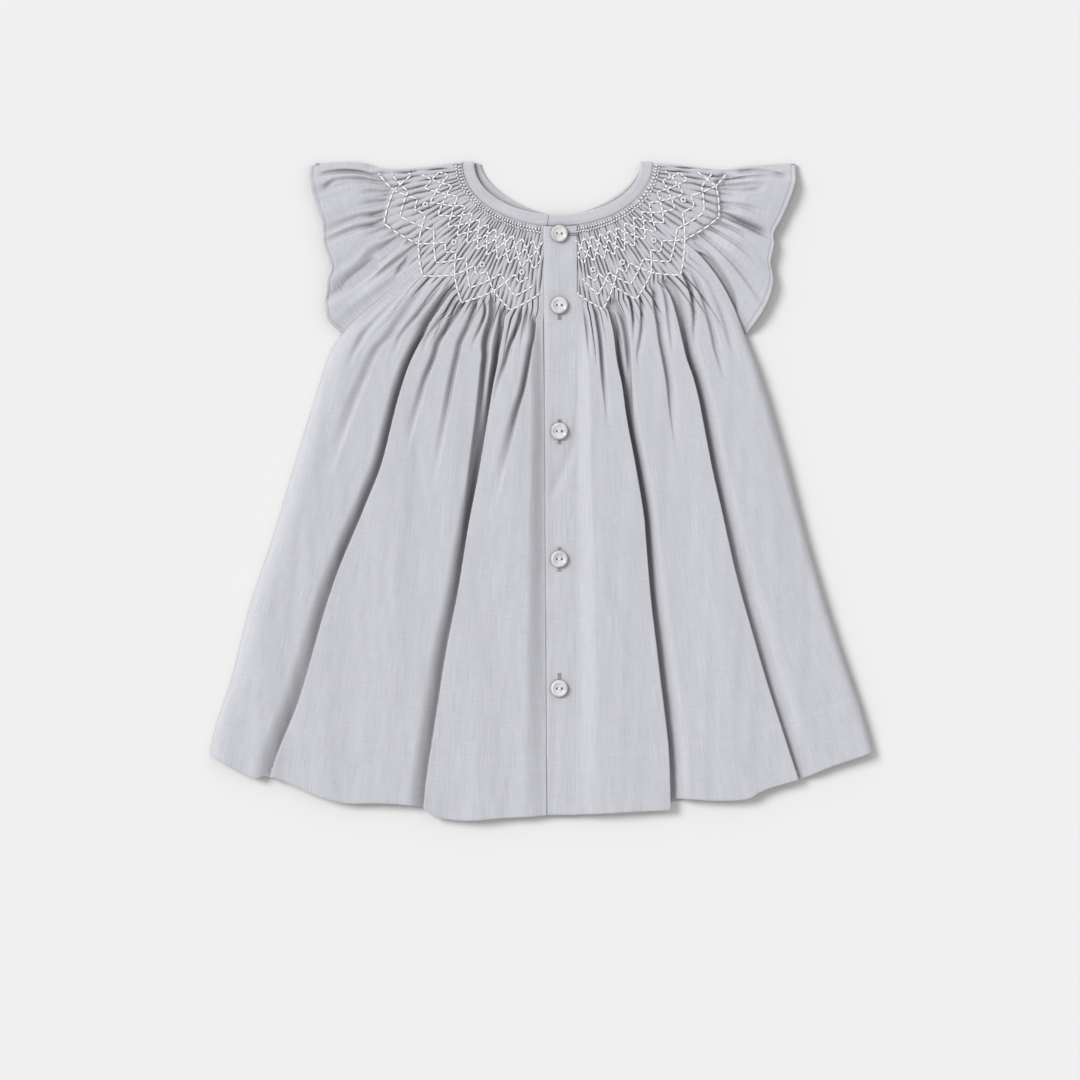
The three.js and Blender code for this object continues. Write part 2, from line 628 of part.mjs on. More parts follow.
// The neck band: a folded strip from the left of the centre back over the left shoulder, round
// the front of the neck, and back over the right shoulder.
function neckBand() {
  const outerEdge = { across: SEAM.across - CLEARANCE, drop: SEAM.drop - CLEARANCE };
  const innerEdge = { across: outerEdge.across - BAND.width, drop: outerEdge.drop - BAND.width };
  const endTurn = degrees(Math.asin(PLACKET.leftAtHem / outerEdge.across));
  const outer = [];
  const inner = [];
  const add = (near, far, z, innerZ, shift = 0, innerShift = 0) => {
    const row = (height, move) => ({
      at: [0, 1],
      points: [near, far].map((p) => new THREE.Vector3(NECK.x + p.x, NECK.y - p.drop + move, height)),
    });
    outer.push(row(z, shift));
    inner.push(row(innerZ, innerShift));
  };
  const backPair = (side, turn) => [innerEdge, outerEdge].map((edge) => {
    const p = ellipsePoint(edge.across, edge.drop, turn);
    return { x: side * p.out, drop: p.drop };
  });
  const frontPair = (signedTurn) => {
    const far = ellipsePoint(outerEdge.across, outerEdge.drop, signedTurn);
    const round = (value) => Math.sign(value) * Math.abs(value) ** (2 / FRONT_NECK.power);
    const near = {
      x: FRONT_NECK.shift + FRONT_NECK.across * round(Math.sin(radians(signedTurn))),
      drop: FRONT_NECK.drop * Math.max(round(Math.cos(radians(signedTurn))), 0),
    };
    return [near, { x: far.out, drop: far.drop }];
  };
  const top = BAND.under + BAND.thickness;
  const bottom = lerp(UNDER_LEAF, BAND.under, 0.5);
  const shoulderFold = (near, far) => {
    add(near, far, top / 2, bottom, BAND.shoulderRound, BAND.shoulderHollow);
  };
  for (let k = 0; k <= BAND_STEPS; k += 1) {
    const [near, far] = backPair(LEFT, lerp(endTurn, 90, k / BAND_STEPS));
    add(near, far, top, BAND.under);
  }
  shoulderFold(...backPair(LEFT, 90));
  for (let k = 0; k <= 2 * BAND_STEPS; k += 1) {
    const [near, far] = frontPair(lerp(-90, 90, k / (2 * BAND_STEPS)));
    add(near, far, 0, UNDER_LEAF);
  }
  shoulderFold(...backPair(RIGHT, 90));
  const rightEnd = -degrees(Math.asin((PLACKET.leftAtHem - CLEARANCE) / outerEdge.across));
  for (let k = BAND_STEPS; k >= 0; k -= 1) {
    const [near, far] = backPair(RIGHT, lerp(rightEnd, 90, k / BAND_STEPS));
    add(near, far, top, BAND.under);
  }
  return wall(outer, inner);
}

// The buttonhole strip down the centre back. Its top edge follows the round neck seam.
function placket() {
  const dropAt = (out, level) => {
    if (level > SEAM.drop) return level;
    return SEAM.drop * Math.sqrt(1 - (out / SEAM.across) ** 2);
  };
  const row = (level, z) => {
    const left = nearEdge(LEFT, level);
    return {
      at: [0, 1, 2],
      points: [
        place(LEFT, left, dropAt(left, level), z),
        place(LEFT, 0, level, z),
        place(RIGHT, PLACKET.right, dropAt(PLACKET.right, level), z),
      ],
    };
  };
  return wall(PLACKET_LEVELS.map((level) => row(level, PLACKET.under + PLACKET.thickness)),
    PLACKET_LEVELS.map((level) => row(level, PLACKET.under)));
}

function toSolid(geometry) {
  const bare = geometry.clone();
  bare.deleteAttribute('normal');
  bare.deleteAttribute('uv');
  const merged = mergeVertices(bare, 1e-4);
  return new wasm.Manifold(new wasm.Mesh({
    numProp: 3,
    vertProperties: merged.attributes.position.array,
    triVerts: new Uint32Array(merged.index.array),
  }));
}

function fromSolid(solid) {
  const mesh = solid.getMesh();
  const geometry = new THREE.BufferGeometry();
  geometry.setAttribute('position', new THREE.BufferAttribute(mesh.vertProperties, 3));
  geometry.setIndex(new THREE.BufferAttribute(mesh.triVerts, 1));
  geometry.computeVertexNormals();
  return geometry;
}

// A turned button: flat back, rounded rim and a dished face, with two thread holes.
function button() {
  const { radius, thickness } = BUTTON;
  const profile = [
    [0, 0],
    [radius * 0.8, 0],
    [radius, thickness * 0.4],
    [radius * 0.95, thickness * 0.8],
    [radius * 0.82, thickness],
    [radius * 0.62, thickness * 0.86],
    [radius * 0.5, thickness * 0.68],
    [0, thickness * 0.64],
  ].map(([r, z]) => new THREE.Vector2(r, z));
  const lathe = new THREE.LatheGeometry(profile, 20).rotateX(Math.PI / 2);
  let solid = toSolid(lathe);
  for (const end of [-1, 1]) {
    const hole = new THREE.CylinderGeometry(BUTTON.holeRadius, BUTTON.holeRadius, thickness * 3, 8);
    hole.rotateX(Math.PI / 2).translate((end * BUTTON.holeSpacing) / 2, 0, 0);
    solid = solid.subtract(toSolid(hole));
  }
  return fromSolid(solid);
}

const cloth = () => new THREE.MeshStandardMaterial({ color: 0xc8c9ce, roughness: 0.9, metalness: 0 });
const pearl = () => new THREE.MeshStandardMaterial({ color: 0xdcdde0, roughness: 0.35, metalness: 0 });

const group = new THREE.Group();

function addPiece(name, geometry, material) {
  const mesh = new THREE.Mesh(geometry, material);
  mesh.name = name;
  group.add(mesh);
  return mesh;
}

addPiece('front', frontPanel(), cloth());
addPiece('back_left', backPanel(LEFT), cloth());
addPiece('back_right', backPanel(RIGHT), cloth());
addPiece('sleeve_left', sleeve(LEFT), cloth());
addPiece('sleeve_right', sleeve(RIGHT), cloth());
addPiece('neck_band', neckBand(), cloth());
addPiece('placket', placket(), cloth());
BUTTON_DROPS.forEach((drop, i) => {
  const mesh = addPiece(`button_${i + 1}`, button(), pearl());
  mesh.position.copy(place(RIGHT, BUTTON.out, drop, PLACKET.under + PLACKET.thickness + CLEARANCE));
});

export default group;
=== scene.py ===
"""A smocked baby dress laid flat on its front: cloth, smocking stitches, buttons and a stage."""

import math

import bmesh
import bpy
import numpy as np
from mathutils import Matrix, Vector


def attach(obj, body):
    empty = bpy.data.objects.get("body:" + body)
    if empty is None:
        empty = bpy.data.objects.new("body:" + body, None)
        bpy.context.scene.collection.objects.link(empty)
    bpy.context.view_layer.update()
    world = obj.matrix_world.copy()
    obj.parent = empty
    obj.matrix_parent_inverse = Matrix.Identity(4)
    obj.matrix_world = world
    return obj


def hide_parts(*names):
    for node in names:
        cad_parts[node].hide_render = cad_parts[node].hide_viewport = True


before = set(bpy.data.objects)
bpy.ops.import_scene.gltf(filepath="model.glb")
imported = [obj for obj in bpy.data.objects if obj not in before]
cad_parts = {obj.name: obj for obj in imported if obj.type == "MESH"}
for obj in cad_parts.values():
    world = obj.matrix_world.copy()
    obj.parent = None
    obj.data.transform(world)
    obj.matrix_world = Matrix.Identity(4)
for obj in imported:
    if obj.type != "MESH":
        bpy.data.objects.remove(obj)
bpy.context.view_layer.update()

bl_info = {
    "name": "Smocked Dress",
    "version": (1, 0, 0),
    "blender": (4, 5, 0),
    "location": "View3D > Sidebar > Dress",
    "description": "Builds the cloth, smocking, buttons and stage of a smocked baby dress",
    "category": "Object",
}

# The pattern's own units are millimetres. The dress lies on its front, seen from its back.
MM = 0.001
LEFT = -1
RIGHT = 1
SIDE_NAMES = {LEFT: "left", RIGHT: "right"}

# NECK: middle of the neck. SEAM, SMOCKING: half axes of the ellipses of the neck seam and the
# smocking. FLOOR: height of the back over the table. Levels are drops at the centre back.
NECK = (9.64, 195.5)
SEAM = {"across": 57.0, "drop": 37.8}
SMOCKING = {"across": 103.2, "drop": 88.2}
BAND_WIDTH = 7.2
FRONT_NECK = {"shift": 2.1, "across": 48.3, "drop": 31.2, "power": 1.6}
PLACKET = {"left": 8.4, "left_at_hem": 6.3, "right": 11.7, "lap": 9.9, "top": 5.0}
SEAM_TUCK = 1.2
FLOOR = 3.15
CLEARANCE = 0.3
UNDERARM = 112.8
HEM_LEVEL = 394.0
DOUBLED_HEM = 36.0
YOKE_END = 100.0
HEM_WAVE_START = 300.0

# Side edges of the dress. level: drop of a row of weave at the centre back.
# out and drop: where the same row reaches the side, from the middle of the neck.
SIDES = {
    LEFT: {
        "level": (37.8, 92.2, 112.8, 126.7, 148.5, 200.0, 249.6, 295.0, 340.5, 378.5, 396.5),
        "out": (43.7, 81.4, 128.7, 136.5, 143.1, 157.5, 171.1, 184.9, 195.2, 206.2, 209.1),
        "drop": (24.3, 60.5, 101.4, 114.0, 133.8, 180.6, 225.6, 266.9, 308.2, 342.7, 359.0),
    },
    RIGHT: {
        "level": (37.8, 88.2, 98.0, 105.0, 112.8, 133.8, 161.3, 196.2, 250.2, 313.0, 356.9, 396.5),
        "out": (43.7, 82.7, 95.5, 104.7, 112.4, 119.6, 127.4, 136.5, 149.3, 166.4, 180.0, 190.6),
        "drop": (24.3, 52.7, 68.0, 84.5, 103.1, 121.9, 146.6, 177.9, 226.3, 282.7, 322.0, 357.7),
    },
}
SMOCKED_EDGE = {LEFT: 92.2, RIGHT: 88.2}
RAGLAN_TURN = {LEFT: 49.0, RIGHT: 53.3}
PLACKET_TURN = {LEFT: 4.65, RIGHT: 6.7}

# The scalloped edge of the smocking. turn: degrees round the neck. reach: 0 at the neck seam,
# 1 at the smocking's own ellipse. Valleys and tips alternate, and a scallop has nine pleats.
SCALLOPS = {
    LEFT: {
        "valley": ((6.4, 0.81), (22.8, 0.90), (38.0, 0.935), (55.6, 0.948), (80.5, 0.912), (105.0, 0.95)),
        "tip": ((15.4, 1.062), (31.0, 1.182), (46.3, 1.189), (68.7, 1.177), (90.0, 1.13)),
        "inner": ((15.1, 0.886), (30.9, 0.978), (46.0, 0.956), (68.8, 0.954), (90.0, 0.95)),
        "peak": ((9.0, 0.72), (22.5, 0.673), (38.2, 0.676), (56.6, 0.687), (78.5, 0.74), (101.0, 0.74)),
        "dimple": ((14.7, 0.723), (31.0, 0.798), (46.0, 0.779), (69.2, 0.746), (90.0, 0.75)),
        "rosette": ((14.7, 0.589), (31.1, 0.657), (46.5, 0.616), (69.2, 0.597)),
    },
    RIGHT: {
        "valley": ((7.0, 0.805), (20.8, 0.81), (35.7, 0.851), (54.1, 0.80), (82.0, 0.837), (105.0, 0.84)),
        "tip": ((15.1, 1.05), (26.5, 1.056), (43.4, 1.084), (69.1, 1.004), (91.0, 1.0)),
        "inner": ((14.5, 0.864), (26.8, 0.863), (43.8, 0.867), (68.5, 0.807), (91.0, 0.81)),
        "peak": ((9.9, 0.64), (20.8, 0.64), (36.0, 0.66), (56.0, 0.64), (80.0, 0.66), (103.0, 0.66)),
        "dimple": ((14.7, 0.70), (27.0, 0.71), (43.6, 0.70), (69.0, 0.66), (91.0, 0.66)),
        "rosette": ((14.9, 0.558), (27.6, 0.579), (44.6, 0.541), (70.0, 0.50)),
    },
}
PLEATS_PER_SCALLOP = 9
# Pleats and gathers. Each table of uneven values has one for each pleat, used in turn.
UNEVEN = 64
PLEAT_SINK = 0.7
SCALLOP_BLEND = 0.10
GATHER_BEND = 26.0
GATHER_LENGTHS = (6.0, 11.0, 17.0, 26.0, 40.0)
SEAM_RISE = 0.75
SEAM_FOLLOW = 0.3
SEAM_BLEND = 0.05
LOWEST = {"smocked": -1.1, "sleeve": -1.0}

# Edges of the panels and sleeves: heights over the floor of the back, and widths of their rolls.
RAGLAN_HEIGHT = {LEFT: 0.6, RIGHT: 1.9}
RAGLAN_ROLL = 16.0
SIDE_ROLL = {LEFT: 13.0, RIGHT: 5.0}
SIDE_EDGE = {LEFT: -1.6, RIGHT: 0.4}
SLEEVE_LOFT = {LEFT: 2.6, RIGHT: 4.6}
SLEEVE_UNDER_SEAM = {LEFT: 0.1, RIGHT: 0.9}
PLACKET_RISE = {"level": (60.0, 200.0, 380.0), "rise": (1.2, 1.4, 1.75)}
RIGHT_PLACKET_RISE = 1.97
PLACKET_RUN = {"level": (100.0, 390.0), "width": (7.0, 15.0)}

# Uneven relief: height, number of waves, and their sizes across and along.
ROLLING = ((0.40, 5, 52.0, 420.0), (0.09, 6, 21.0, 210.0))
CREASING = (0.06, 7, 11.0, 60.0)
SLEEVE_ROLLING = (0.35, 5, 26.0, 110.0)
SLEEVE_SPAN = (120.0, 60.0)
PLACKET_ROLLING = (0.12, 5, 16.0, 120.0)

# Grooves and ridges: depth and width.
HEM_STEP = 0.18
HEM_GROOVE = (0.10, 0.7)
SLEEVE_GROOVE = (0.35, 0.012)
PLACKET_CREASE = (0.7, 3.2)
PLACKET_FOLD = {"level": (150.0, 165.0, 180.0, 200.0), "out": (12.5, 10.0, 5.0, -4.0), "fade": (140, 190)}
PLACKET_RIDGE = (0.2, 2.2)
PLACKET_RIDGE_OUT = -5.2
PLACKET_EDGES = ((0.35, 0.7), (0.12, 0.6))
PLACKET_START = 0.2
PLACKET_END = 390.1
PLACKET_WEAVE_SHIFT = (700.0, 200.0)

# Turned edges. In rows: how far in from the edge, or across, and how far below the face.
HEM_TURN = ((-0.45, 0.25), (-0.5, 0.7), (0.0, 1.05), (1.5, 1.15), (6.0, 1.2))
SIDE_RIM = ((0.25, 0.45), (0.9, 0.75))
SIDE_RIM_LOWEST = 0.4
PLACKET_LEFT_TURN = ((0.8, 1.0), (0.1, 0.8), (-0.12, 0.4))
PLACKET_RIGHT_TURN = ((0.1, 0.4), (0.05, 0.9))
PLACKET_HEM_TURN = ((-0.3, 0.6), (3.0, 1.0))
SLEEVE_LEAF = {"bulge": 0.9, "bottom": 0.1, "tuck": 0.25, "rim": 0.55, "inner": 0.25, "low_rim": 0.5,
               "low_inner": 0.7}
SLEEVE_ROWS = 90
LOWER_LEAF_COLUMNS = 16
FRONT_LEAF = {"top": 1.5, "bottom": 0.05, "end": 387.0}

# The neck band: heights of its middle behind and in front, its thickness, and how it rolls
# over the shoulder between them.
BAND = {"back": 3.45, "front": 0.82, "thick": 1.5}
BAND_FOLD = {"middle": 2.1, "rise": 1.3, "out": 1.25, "thick": 1.3, "turn": 88.6}
BAND_OVERLAP = 0.3
BAND_STEP = 0.12

# Stitches: turns and reaches round the neck, lengths, and heights over the cloth.
SLEEVE_HEM_TURN = 0.945
SEAM_STITCH = 1.55
SEAM_MARK = {"reach": 0.008, "share": 0.42, "height": 4.2, "rise": 0.12, "last": 89.0}
BAR_STITCH = {"step": 0.42, "lip": 1.05, "slit": 0.12, "slant": 0.1, "end": 0.35, "lift": 0.15, "rise": 0.14}
BUTTON_THREAD = {"shifts": (-0.28, 0.0, 0.28), "half": 1.3, "rise": 0.35}
CABLE_STITCH = {"first": 0.2, "length": 0.46, "clear": 4.0, "wander": 0.004, "lift": 0.15, "rise": 0.25}
RING_TURNS = ((1.5, 0.0), (0.95, 0.6))
RING_STITCHES = 5
SLEEVE_STITCH = {"first": 0.04, "last": 0.985, "count": 130, "lift": 0.08}
# A ridge this near to the last stop is left out, and one this near to a corner gives way to it.
STOP_STEPS = (0.45, 0.3)

# Thread radii, and the cable and ring threads as shares of the smocking thread.
THREADS = {"button": 0.15, "buttonhole": 0.17, "seam": 0.3, "sleeve": 0.16}
CABLE_SHARE = 1.25
RING_SHARE = 0.85

# Edges of the back panels under the placket: distance out and how far each lies under the face.
LAPS = {
    LEFT: ((7.5, 3.0), (6.0, 3.0), (2.0, 3.0), (-3.0, 3.0), (-PLACKET["lap"], 3.0)),
    RIGHT: ((11.35, 0.1), (10.4, 0.9)),
}
LAP_HEIGHT = 3.2
LAP_WEAVE = (20.0, 2.0)
LAST_STITCH = 88.2
BUTTON_FACE = 6.75
SMALL_V_HALF = 3.0
SMALL_V_SHARE = 8.5
SMALL_V_TALL = 0.09
TRELLIS = {LEFT: (0.19, 0.30, 0.41, 0.53), RIGHT: (0.16, 0.26, 0.36, 0.47)}
TRELLIS_START = {LEFT: 0.5, RIGHT: 1.5}
TRELLIS_END = 4.4
CABLE_ROWS = (0.048, 0.082)
TRELLIS_STITCH = {"gap": 0.06, "rise": 0.25, "sink": 0.3, "steps": 5}
WAVE_STITCH = {"gap": 0.07, "rise": 0.28, "sink": 0.45, "steps": 6}
STITCH_LIFT = 0.1

# The cloth's uneven threads. In each row: weight, scale along and across, and detail of a noise.
THREAD_NOISE = (
    (0.5, (2600.0, 60.0, 1.0), 3.0),
    (0.34, (70.0, 2400.0, 1.0), 3.0),
    (0.26, (900.0, 30.0, 1.0), 2.0),
    (0.12, (60.0, 50.0, 1.0), 2.0),
)
WEAVE_SCALE = 380.0
# Painted shade: how far the darkening of the cloth's folds looks for nearby cloth, in metres.
PAINTED_SHADE_REACH = 0.009
WHITE = (1.0, 1.0, 1.0, 1.0)

# The stage, in metres.
DRESS_MIDDLE = (-0.00086, -0.0301)
FLOOR_SIZE = 6.0
FLOOR_DROP = 0.0003
KEY_PLACE = (-0.95, 0.55, 1.0)

# Folds from the placket outwards. at: share of the panel's width at each of FOLD_LEVELS.
# start, until: levels where a fold begins and has gone. depth, hem_depth: how far it dips.
# near, far: half widths towards the placket and away. lean: how far its near edge overhangs.
FOLD_LEVELS = (90, 97, 104, 111, 118, 135, 150, 185, 220, 260, 300, 350, 394)
FOLD_COLUMNS = ("at", "start", "until", "depth", "hem_depth", "near", "far", "lean")
FOLDS = {
    LEFT: (
        ((-.01, -.005, 0, 0, 0, 0, 0, 0, 0, 0, 0, 0, 0), 86, 140, 1.6, 0, 2.0, 3.5, 0.0),
        ((.075, .052, .05, .058, .065, .086, .115, .165, .21, .23, .24, .25, .26),
         88, 215, 3.4, 0, 1.2, 4.5, 0.9),
        ((.12, .115, .11, .11, .115, .13, .15, .2, .24, .26, .27, .28, .29),
         84, 112, 1.6, 0, 1.3, 1.8, 0.2),
        ((.167, .153, .153, .159, .166, .193, .21, .23, .25, .26, .27, .28, .29),
         86, 150, 2.8, 0, 1.3, 2.5, 0.4),
        ((.285, .254, .224, .21, .21, .223, .234, .258, .285, .304, .327, .347, .356),
         88, 450, 6.2, 4.0, 1.2, 7.0, 1.7),
        ((.40, .351, .319, .296, .283, .281, .283, .293, .30, .31, .33, .35, .36),
         84, 240, 4.6, 0, 5.0, 1.6, 0.0),
        ((.455, .392, .36, .345, .335, .345, .35, .36, .37, .38, .39, .4, .41),
         86, 116, 2.2, 0, 1.4, 1.6, 0.2),
        ((.525, .463, .425, .409, .402, .408, .414, .43, .45, .46, .47, .48, .49),
         86, 205, 2.5, 0, 1.8, 4.0, 0.4),
        ((.582, .553, .527, .512, .508, .528, .541, .565, .58, .6, .62, .63, .64),
         88, 185, 2.7, 0, 1.6, 3.6, 0.4),
        ((.64, .61, .585, .567, .56, .575, .59, .62, .64, .66, .68, .7, .72),
         88, 122, 1.6, 0, 1.6, 2.4, 0.2),
        ((.708, .672, .638, .601, .606, .622, .634, .648, .69, .735, .752, .78, .812),
         88, 450, 5.2, 3.8, 1.3, 7.5, 1.7),
        ((.79, .76, .73, .71, .70, .72, .73, .75, .77, .79, .81, .83, .85), 90, 124, 1.6, 0, 2.0, 3.0, 0.2),
        ((.90, .857, .796, .763, .783, .797, .815, .845, .87, .885, .9, .91, .92),
         90, 215, 2.0, 0, 2.6, 6.5, 0.3),
        ((.96, .94, .91, .89, .885, .89, .9, .91, .92, .93, .94, .95, .96), 92, 140, 1.6, 0, 3.0, 5.0, 0.0),
    ),
    RIGHT: (
        ((.05, .055, .06, .065, .07, .08, .09, .1, .1, .1, .1, .1, .1), 86, 122, 1.6, 0, 1.2, 2.0, 0.1),
        ((.115, .12, .125, .128, .13, .14, .15, .16, .16, .16, .16, .16, .16),
         84, 165, 2.6, 0, 1.3, 2.4, 0.3),
        ((.206, .209, .213, .214, .217, .236, .244, .276, .298, .300, .309, .316, .305),
         84, 450, 6.4, 5.2, 1.1, 8.5, 1.8),
        ((.285, .299, .30, .299, .297, .287, .281, .283, .30, .31, .32, .33, .345),
         82, 170, 3.6, 0, 4.0, 1.2, 0.0),
        ((.382, .362, .342, .328, .322, .33, .34, .35, .36, .37, .38, .39, .4),
         82, 112, 2.6, 0, 1.2, 1.6, 0.2),
        ((.458, .422, .392, .362, .344, .35, .36, .37, .38, .39, .4, .41, .42),
         84, 130, 1.9, 0, 1.4, 2.6, 0.3),
        ((.56, .515, .496, .485, .486, .488, .484, .485, .5, .52, .54, .56, .58),
         84, 186, 2.7, 0, 1.6, 5.0, 0.5),
        ((.63, .59, .56, .545, .54, .55, .56, .57, .58, .59, .6, .61, .62), 86, 120, 1.6, 0, 1.5, 2.2, 0.1),
        ((.655, .638, .622, .613, .612, .628, .634, .637, .652, .668, .69, .712, .738),
         86, 450, 6.0, 3.6, 1.2, 11.0, 1.7),
        ((.82, .785, .735, .69, .68, .69, .70, .71, .73, .75, .77, .79, .8),
         86, 121, 3.0, 0, 1.6, 3.0, 0.3),
        ((.885, .854, .828, .81, .80, .80, .81, .82, .83, .84, .85, .86, .87),
         88, 145, 2.0, 0, 2.4, 4.0, 0.1),
        ((.95, .935, .92, .905, .895, .89, .9, .91, .92, .93, .94, .95, .96),
         90, 130, 1.4, 0, 3.0, 5.0, 0.0),
    ),
}

# How far the cloth stands off the table between its folds, by level.
LOFT = {
    "level": (37.8, 88.0, 112.8, 150.0, 220.0, 320.0, 396.5),
    "rise": (0, 1.6, 4.2, 5.6, 5.8, 5.0, 3.4),
}

# The wavy hem. share: place across the panel. level: drop of the hem's own row of weave.
HEM = {
    LEFT: {
        "share": (0.0, 0.12, 0.26, 0.315, 0.335, 0.355, 0.40, 0.485, 0.60, 0.70, 0.78, 0.83, 0.85, 0.94, 1.0),
        "level": (390.0, 392.3, 395.9, 395.6, 393.0, 390.4, 390.4, 392.1, 396.3, 394.4, 391.5, 392.5,
                  395.8, 393.2, 390.9),
    },
    RIGHT: {
        "share": (0.0, 0.114, 0.234, 0.292, 0.308, 0.366, 0.466, 0.567, 0.60, 0.656, 0.746, 0.85, 1.0),
        "level": (389.6, 389.6, 390.4, 391.4, 385.0, 386.5, 390.8, 393.5, 391.5, 390.3, 390.4, 389.2, 390.3),
    },
}

# Sleeve edges from the underarm up to the shoulder, from the middle of the neck.
SLEEVE_HEMS = {
    LEFT: {
        "out": (128.7, 134.7, 138.3, 139.5, 138.3, 137.7, 135.9, 135.3, 139.5, 140.4, 140.4, 144.3,
                147.3, 148.5, 147.9, 144.9),
        "drop": (101.4, 97.2, 91.8, 83.4, 78.6, 69.6, 66.0, 62.4, 50.4, 45.0, 38.4, 26.4,
                 15.0, 7.2, 2.4, 0.6),
    },
    RIGHT: {
        "out": (112.4, 118.7, 122.8, 125.9, 128.0, 129.0, 128.5, 127.4, 128.5, 129.5, 129.0, 134.2,
                138.3, 140.9, 142.5, 142.5),
        "drop": (103.1, 94.9, 88.7, 82.5, 76.3, 70.1, 66.0, 59.8, 53.6, 47.9, 44.3, 32.9,
                 23.6, 16.4, 8.6, 0.9),
    },
}

# How far the folded shoulder dips below its straight line, by distance out.
SHOULDERS = {
    LEFT: {
        "out": (57.0, 70.5, 82.5, 97.5, 105.9, 111.3, 119.7, 127.5, 136.5, 144.9),
        "dip": (0.0, 1.8, 3.3, 4.2, 3.6, 1.8, -0.3, -0.9, -0.6, 0.6),
    },
    RIGHT: {
        "out": (57.0, 72.3, 82.5, 92.7, 99.0, 105.3, 113.5, 123.9, 134.1, 143.5),
        "dip": (0.4, 1.7, 2.9, 4.2, 4.5, 4.0, 3.2, 2.9, 2.2, 0.9),
    },
}

# Flutes of the sleeves, from the raglan seam to the shoulder. top, middle, hem: share of the
# sleeve's width at the smocking, halfway and at the sleeve's edge. until: where along the
# flutter it ends. lower, upper: half widths as shares of the sleeve's width.
FLUTE_COLUMNS = ("top", "middle", "hem", "until", "depth", "lower", "upper")
FLUTES = {
    LEFT: (
        (0.16, 0.13, 0.08, 0.7, 1.6, 0.03, 0.03),
        (0.29, 0.20, 0.22, 1.2, 2.6, 0.035, 0.07),
        (0.475, 0.53, 0.545, 1.2, 1.6, 0.02, 0.025),
        (0.56, 0.60, 0.60, 1.2, 1.8, 0.02, 0.03),
        (0.68, 0.68, 0.68, 0.5, 1.2, 0.02, 0.03),
        (0.77, 0.76, 0.75, 0.5, 1.4, 0.02, 0.03),
        (0.86, 0.85, 0.82, 1.2, 1.6, 0.02, 0.03),
        (0.91, 0.93, 0.93, 0.9, 1.4, 0.015, 0.02),
    ),
    RIGHT: (
        (0.07, 0.08, 0.1, 0.6, 1.2, 0.03, 0.03),
        (0.17, 0.19, 0.2, 1.2, 1.6, 0.02, 0.04),
        (0.28, 0.33, 0.36, 0.8, 1.4, 0.02, 0.03),
        (0.38, 0.44, 0.47, 0.7, 1.2, 0.02, 0.03),
        (0.466, 0.53, 0.58, 1.2, 2.6, 0.02, 0.05),
        (0.60, 0.66, 0.68, 0.9, 1.4, 0.02, 0.03),
        (0.70, 0.76, 0.79, 0.7, 1.2, 0.02, 0.03),
        (0.80, 0.85, 0.88, 0.7, 1.2, 0.015, 0.03),
        (0.88, 0.92, 0.94, 1.2, 1.4, 0.015, 0.02),
    ),
}

# Single creases. path: places from the middle of the neck, as distance out and drop.
# depth: how far the crease dips. half: its half width at its start, middle and end.
BODY_CREASES = {
    LEFT: (
        {"path": ((83.5, 68.1), (94.6, 74.8), (104.6, 82.5), (112.4, 90.3), (119.0, 98.0)),
         "depth": 1.6, "half": (1.6, 2.8, 4.0)},
    ),
    RIGHT: (),
}
SLEEVE_CREASES = {
    LEFT: (
        {"path": ((94.1, 44.2), (101.3, 49.2), (110.2, 54.8), (113.5, 61.4), (121.2, 70.3), (135.7, 78.1)),
         "depth": 2.8, "half": (1.4, 4.7, 8.0)},
        {"path": ((84.1, 49.2), (90.2, 58.1), (97.9, 68.1)), "depth": 2.6, "half": (1.5, 1.5, 1.5)},
        {"path": ((143.4, 7.1), (129.0, 4.9), (111.3, 6.0)), "depth": 1.3, "half": (1.4, 1.3, 1.2)},
        {"path": ((141.2, 16.0), (132.3, 10.4), (121.2, 9.3), (104.6, 9.8)),
         "depth": 1.5, "half": (1.8, 1.55, 1.3)},
    ),
    RIGHT: (
        {"path": ((80.5, 52.0), (88.5, 57.3), (94.4, 64.7), (99.6, 72.2), (104.8, 82.4), (109.0, 92.5)),
         "depth": 3.4, "half": (0.8, 3.4, 0.9)},
        {"path": ((98.7, 30.0), (109.5, 36.0), (128.7, 44.4)), "depth": 2.0, "half": (1.2, 2.1, 3.0)},
        {"path": ((96.3, 15.6), (111.0, 17.0), (126.0, 14.5)), "depth": 1.3, "half": (1.2, 1.6, 2.0)},
        {"path": ((106.0, 5.5), (118.0, 4.5), (129.0, 6.0), (141.0, 9.6)),
         "depth": 1.4, "half": (1.2, 1.4, 1.6)},
    ),
}

# Buttons and buttonholes: drop of each button below the shoulder line. A hole lies across
# at the neck and along the placket below.
BUTTON_OUT = 1.1
BUTTON_DROPS = (42.3, 85.2, 160.5, 237.0, 314.4)
BUTTONHOLES = (
    {"out": 5.5, "drop": 42.6, "length": 13.0, "along": False},
    {"out": 1.1, "drop": 87.0, "length": 13.0, "along": True},
    {"out": 1.1, "drop": 160.8, "length": 14.0, "along": True},
    {"out": 1.1, "drop": 237.2, "length": 14.0, "along": True},
    {"out": 1.1, "drop": 312.6, "length": 14.0, "along": True},
)


def smooth(x):
    """Rises softly from 0 at x = 0 to 1 at x = 1."""
    t = np.clip(x, 0.0, 1.0)
    return t * t * (3.0 - 2.0 * t)


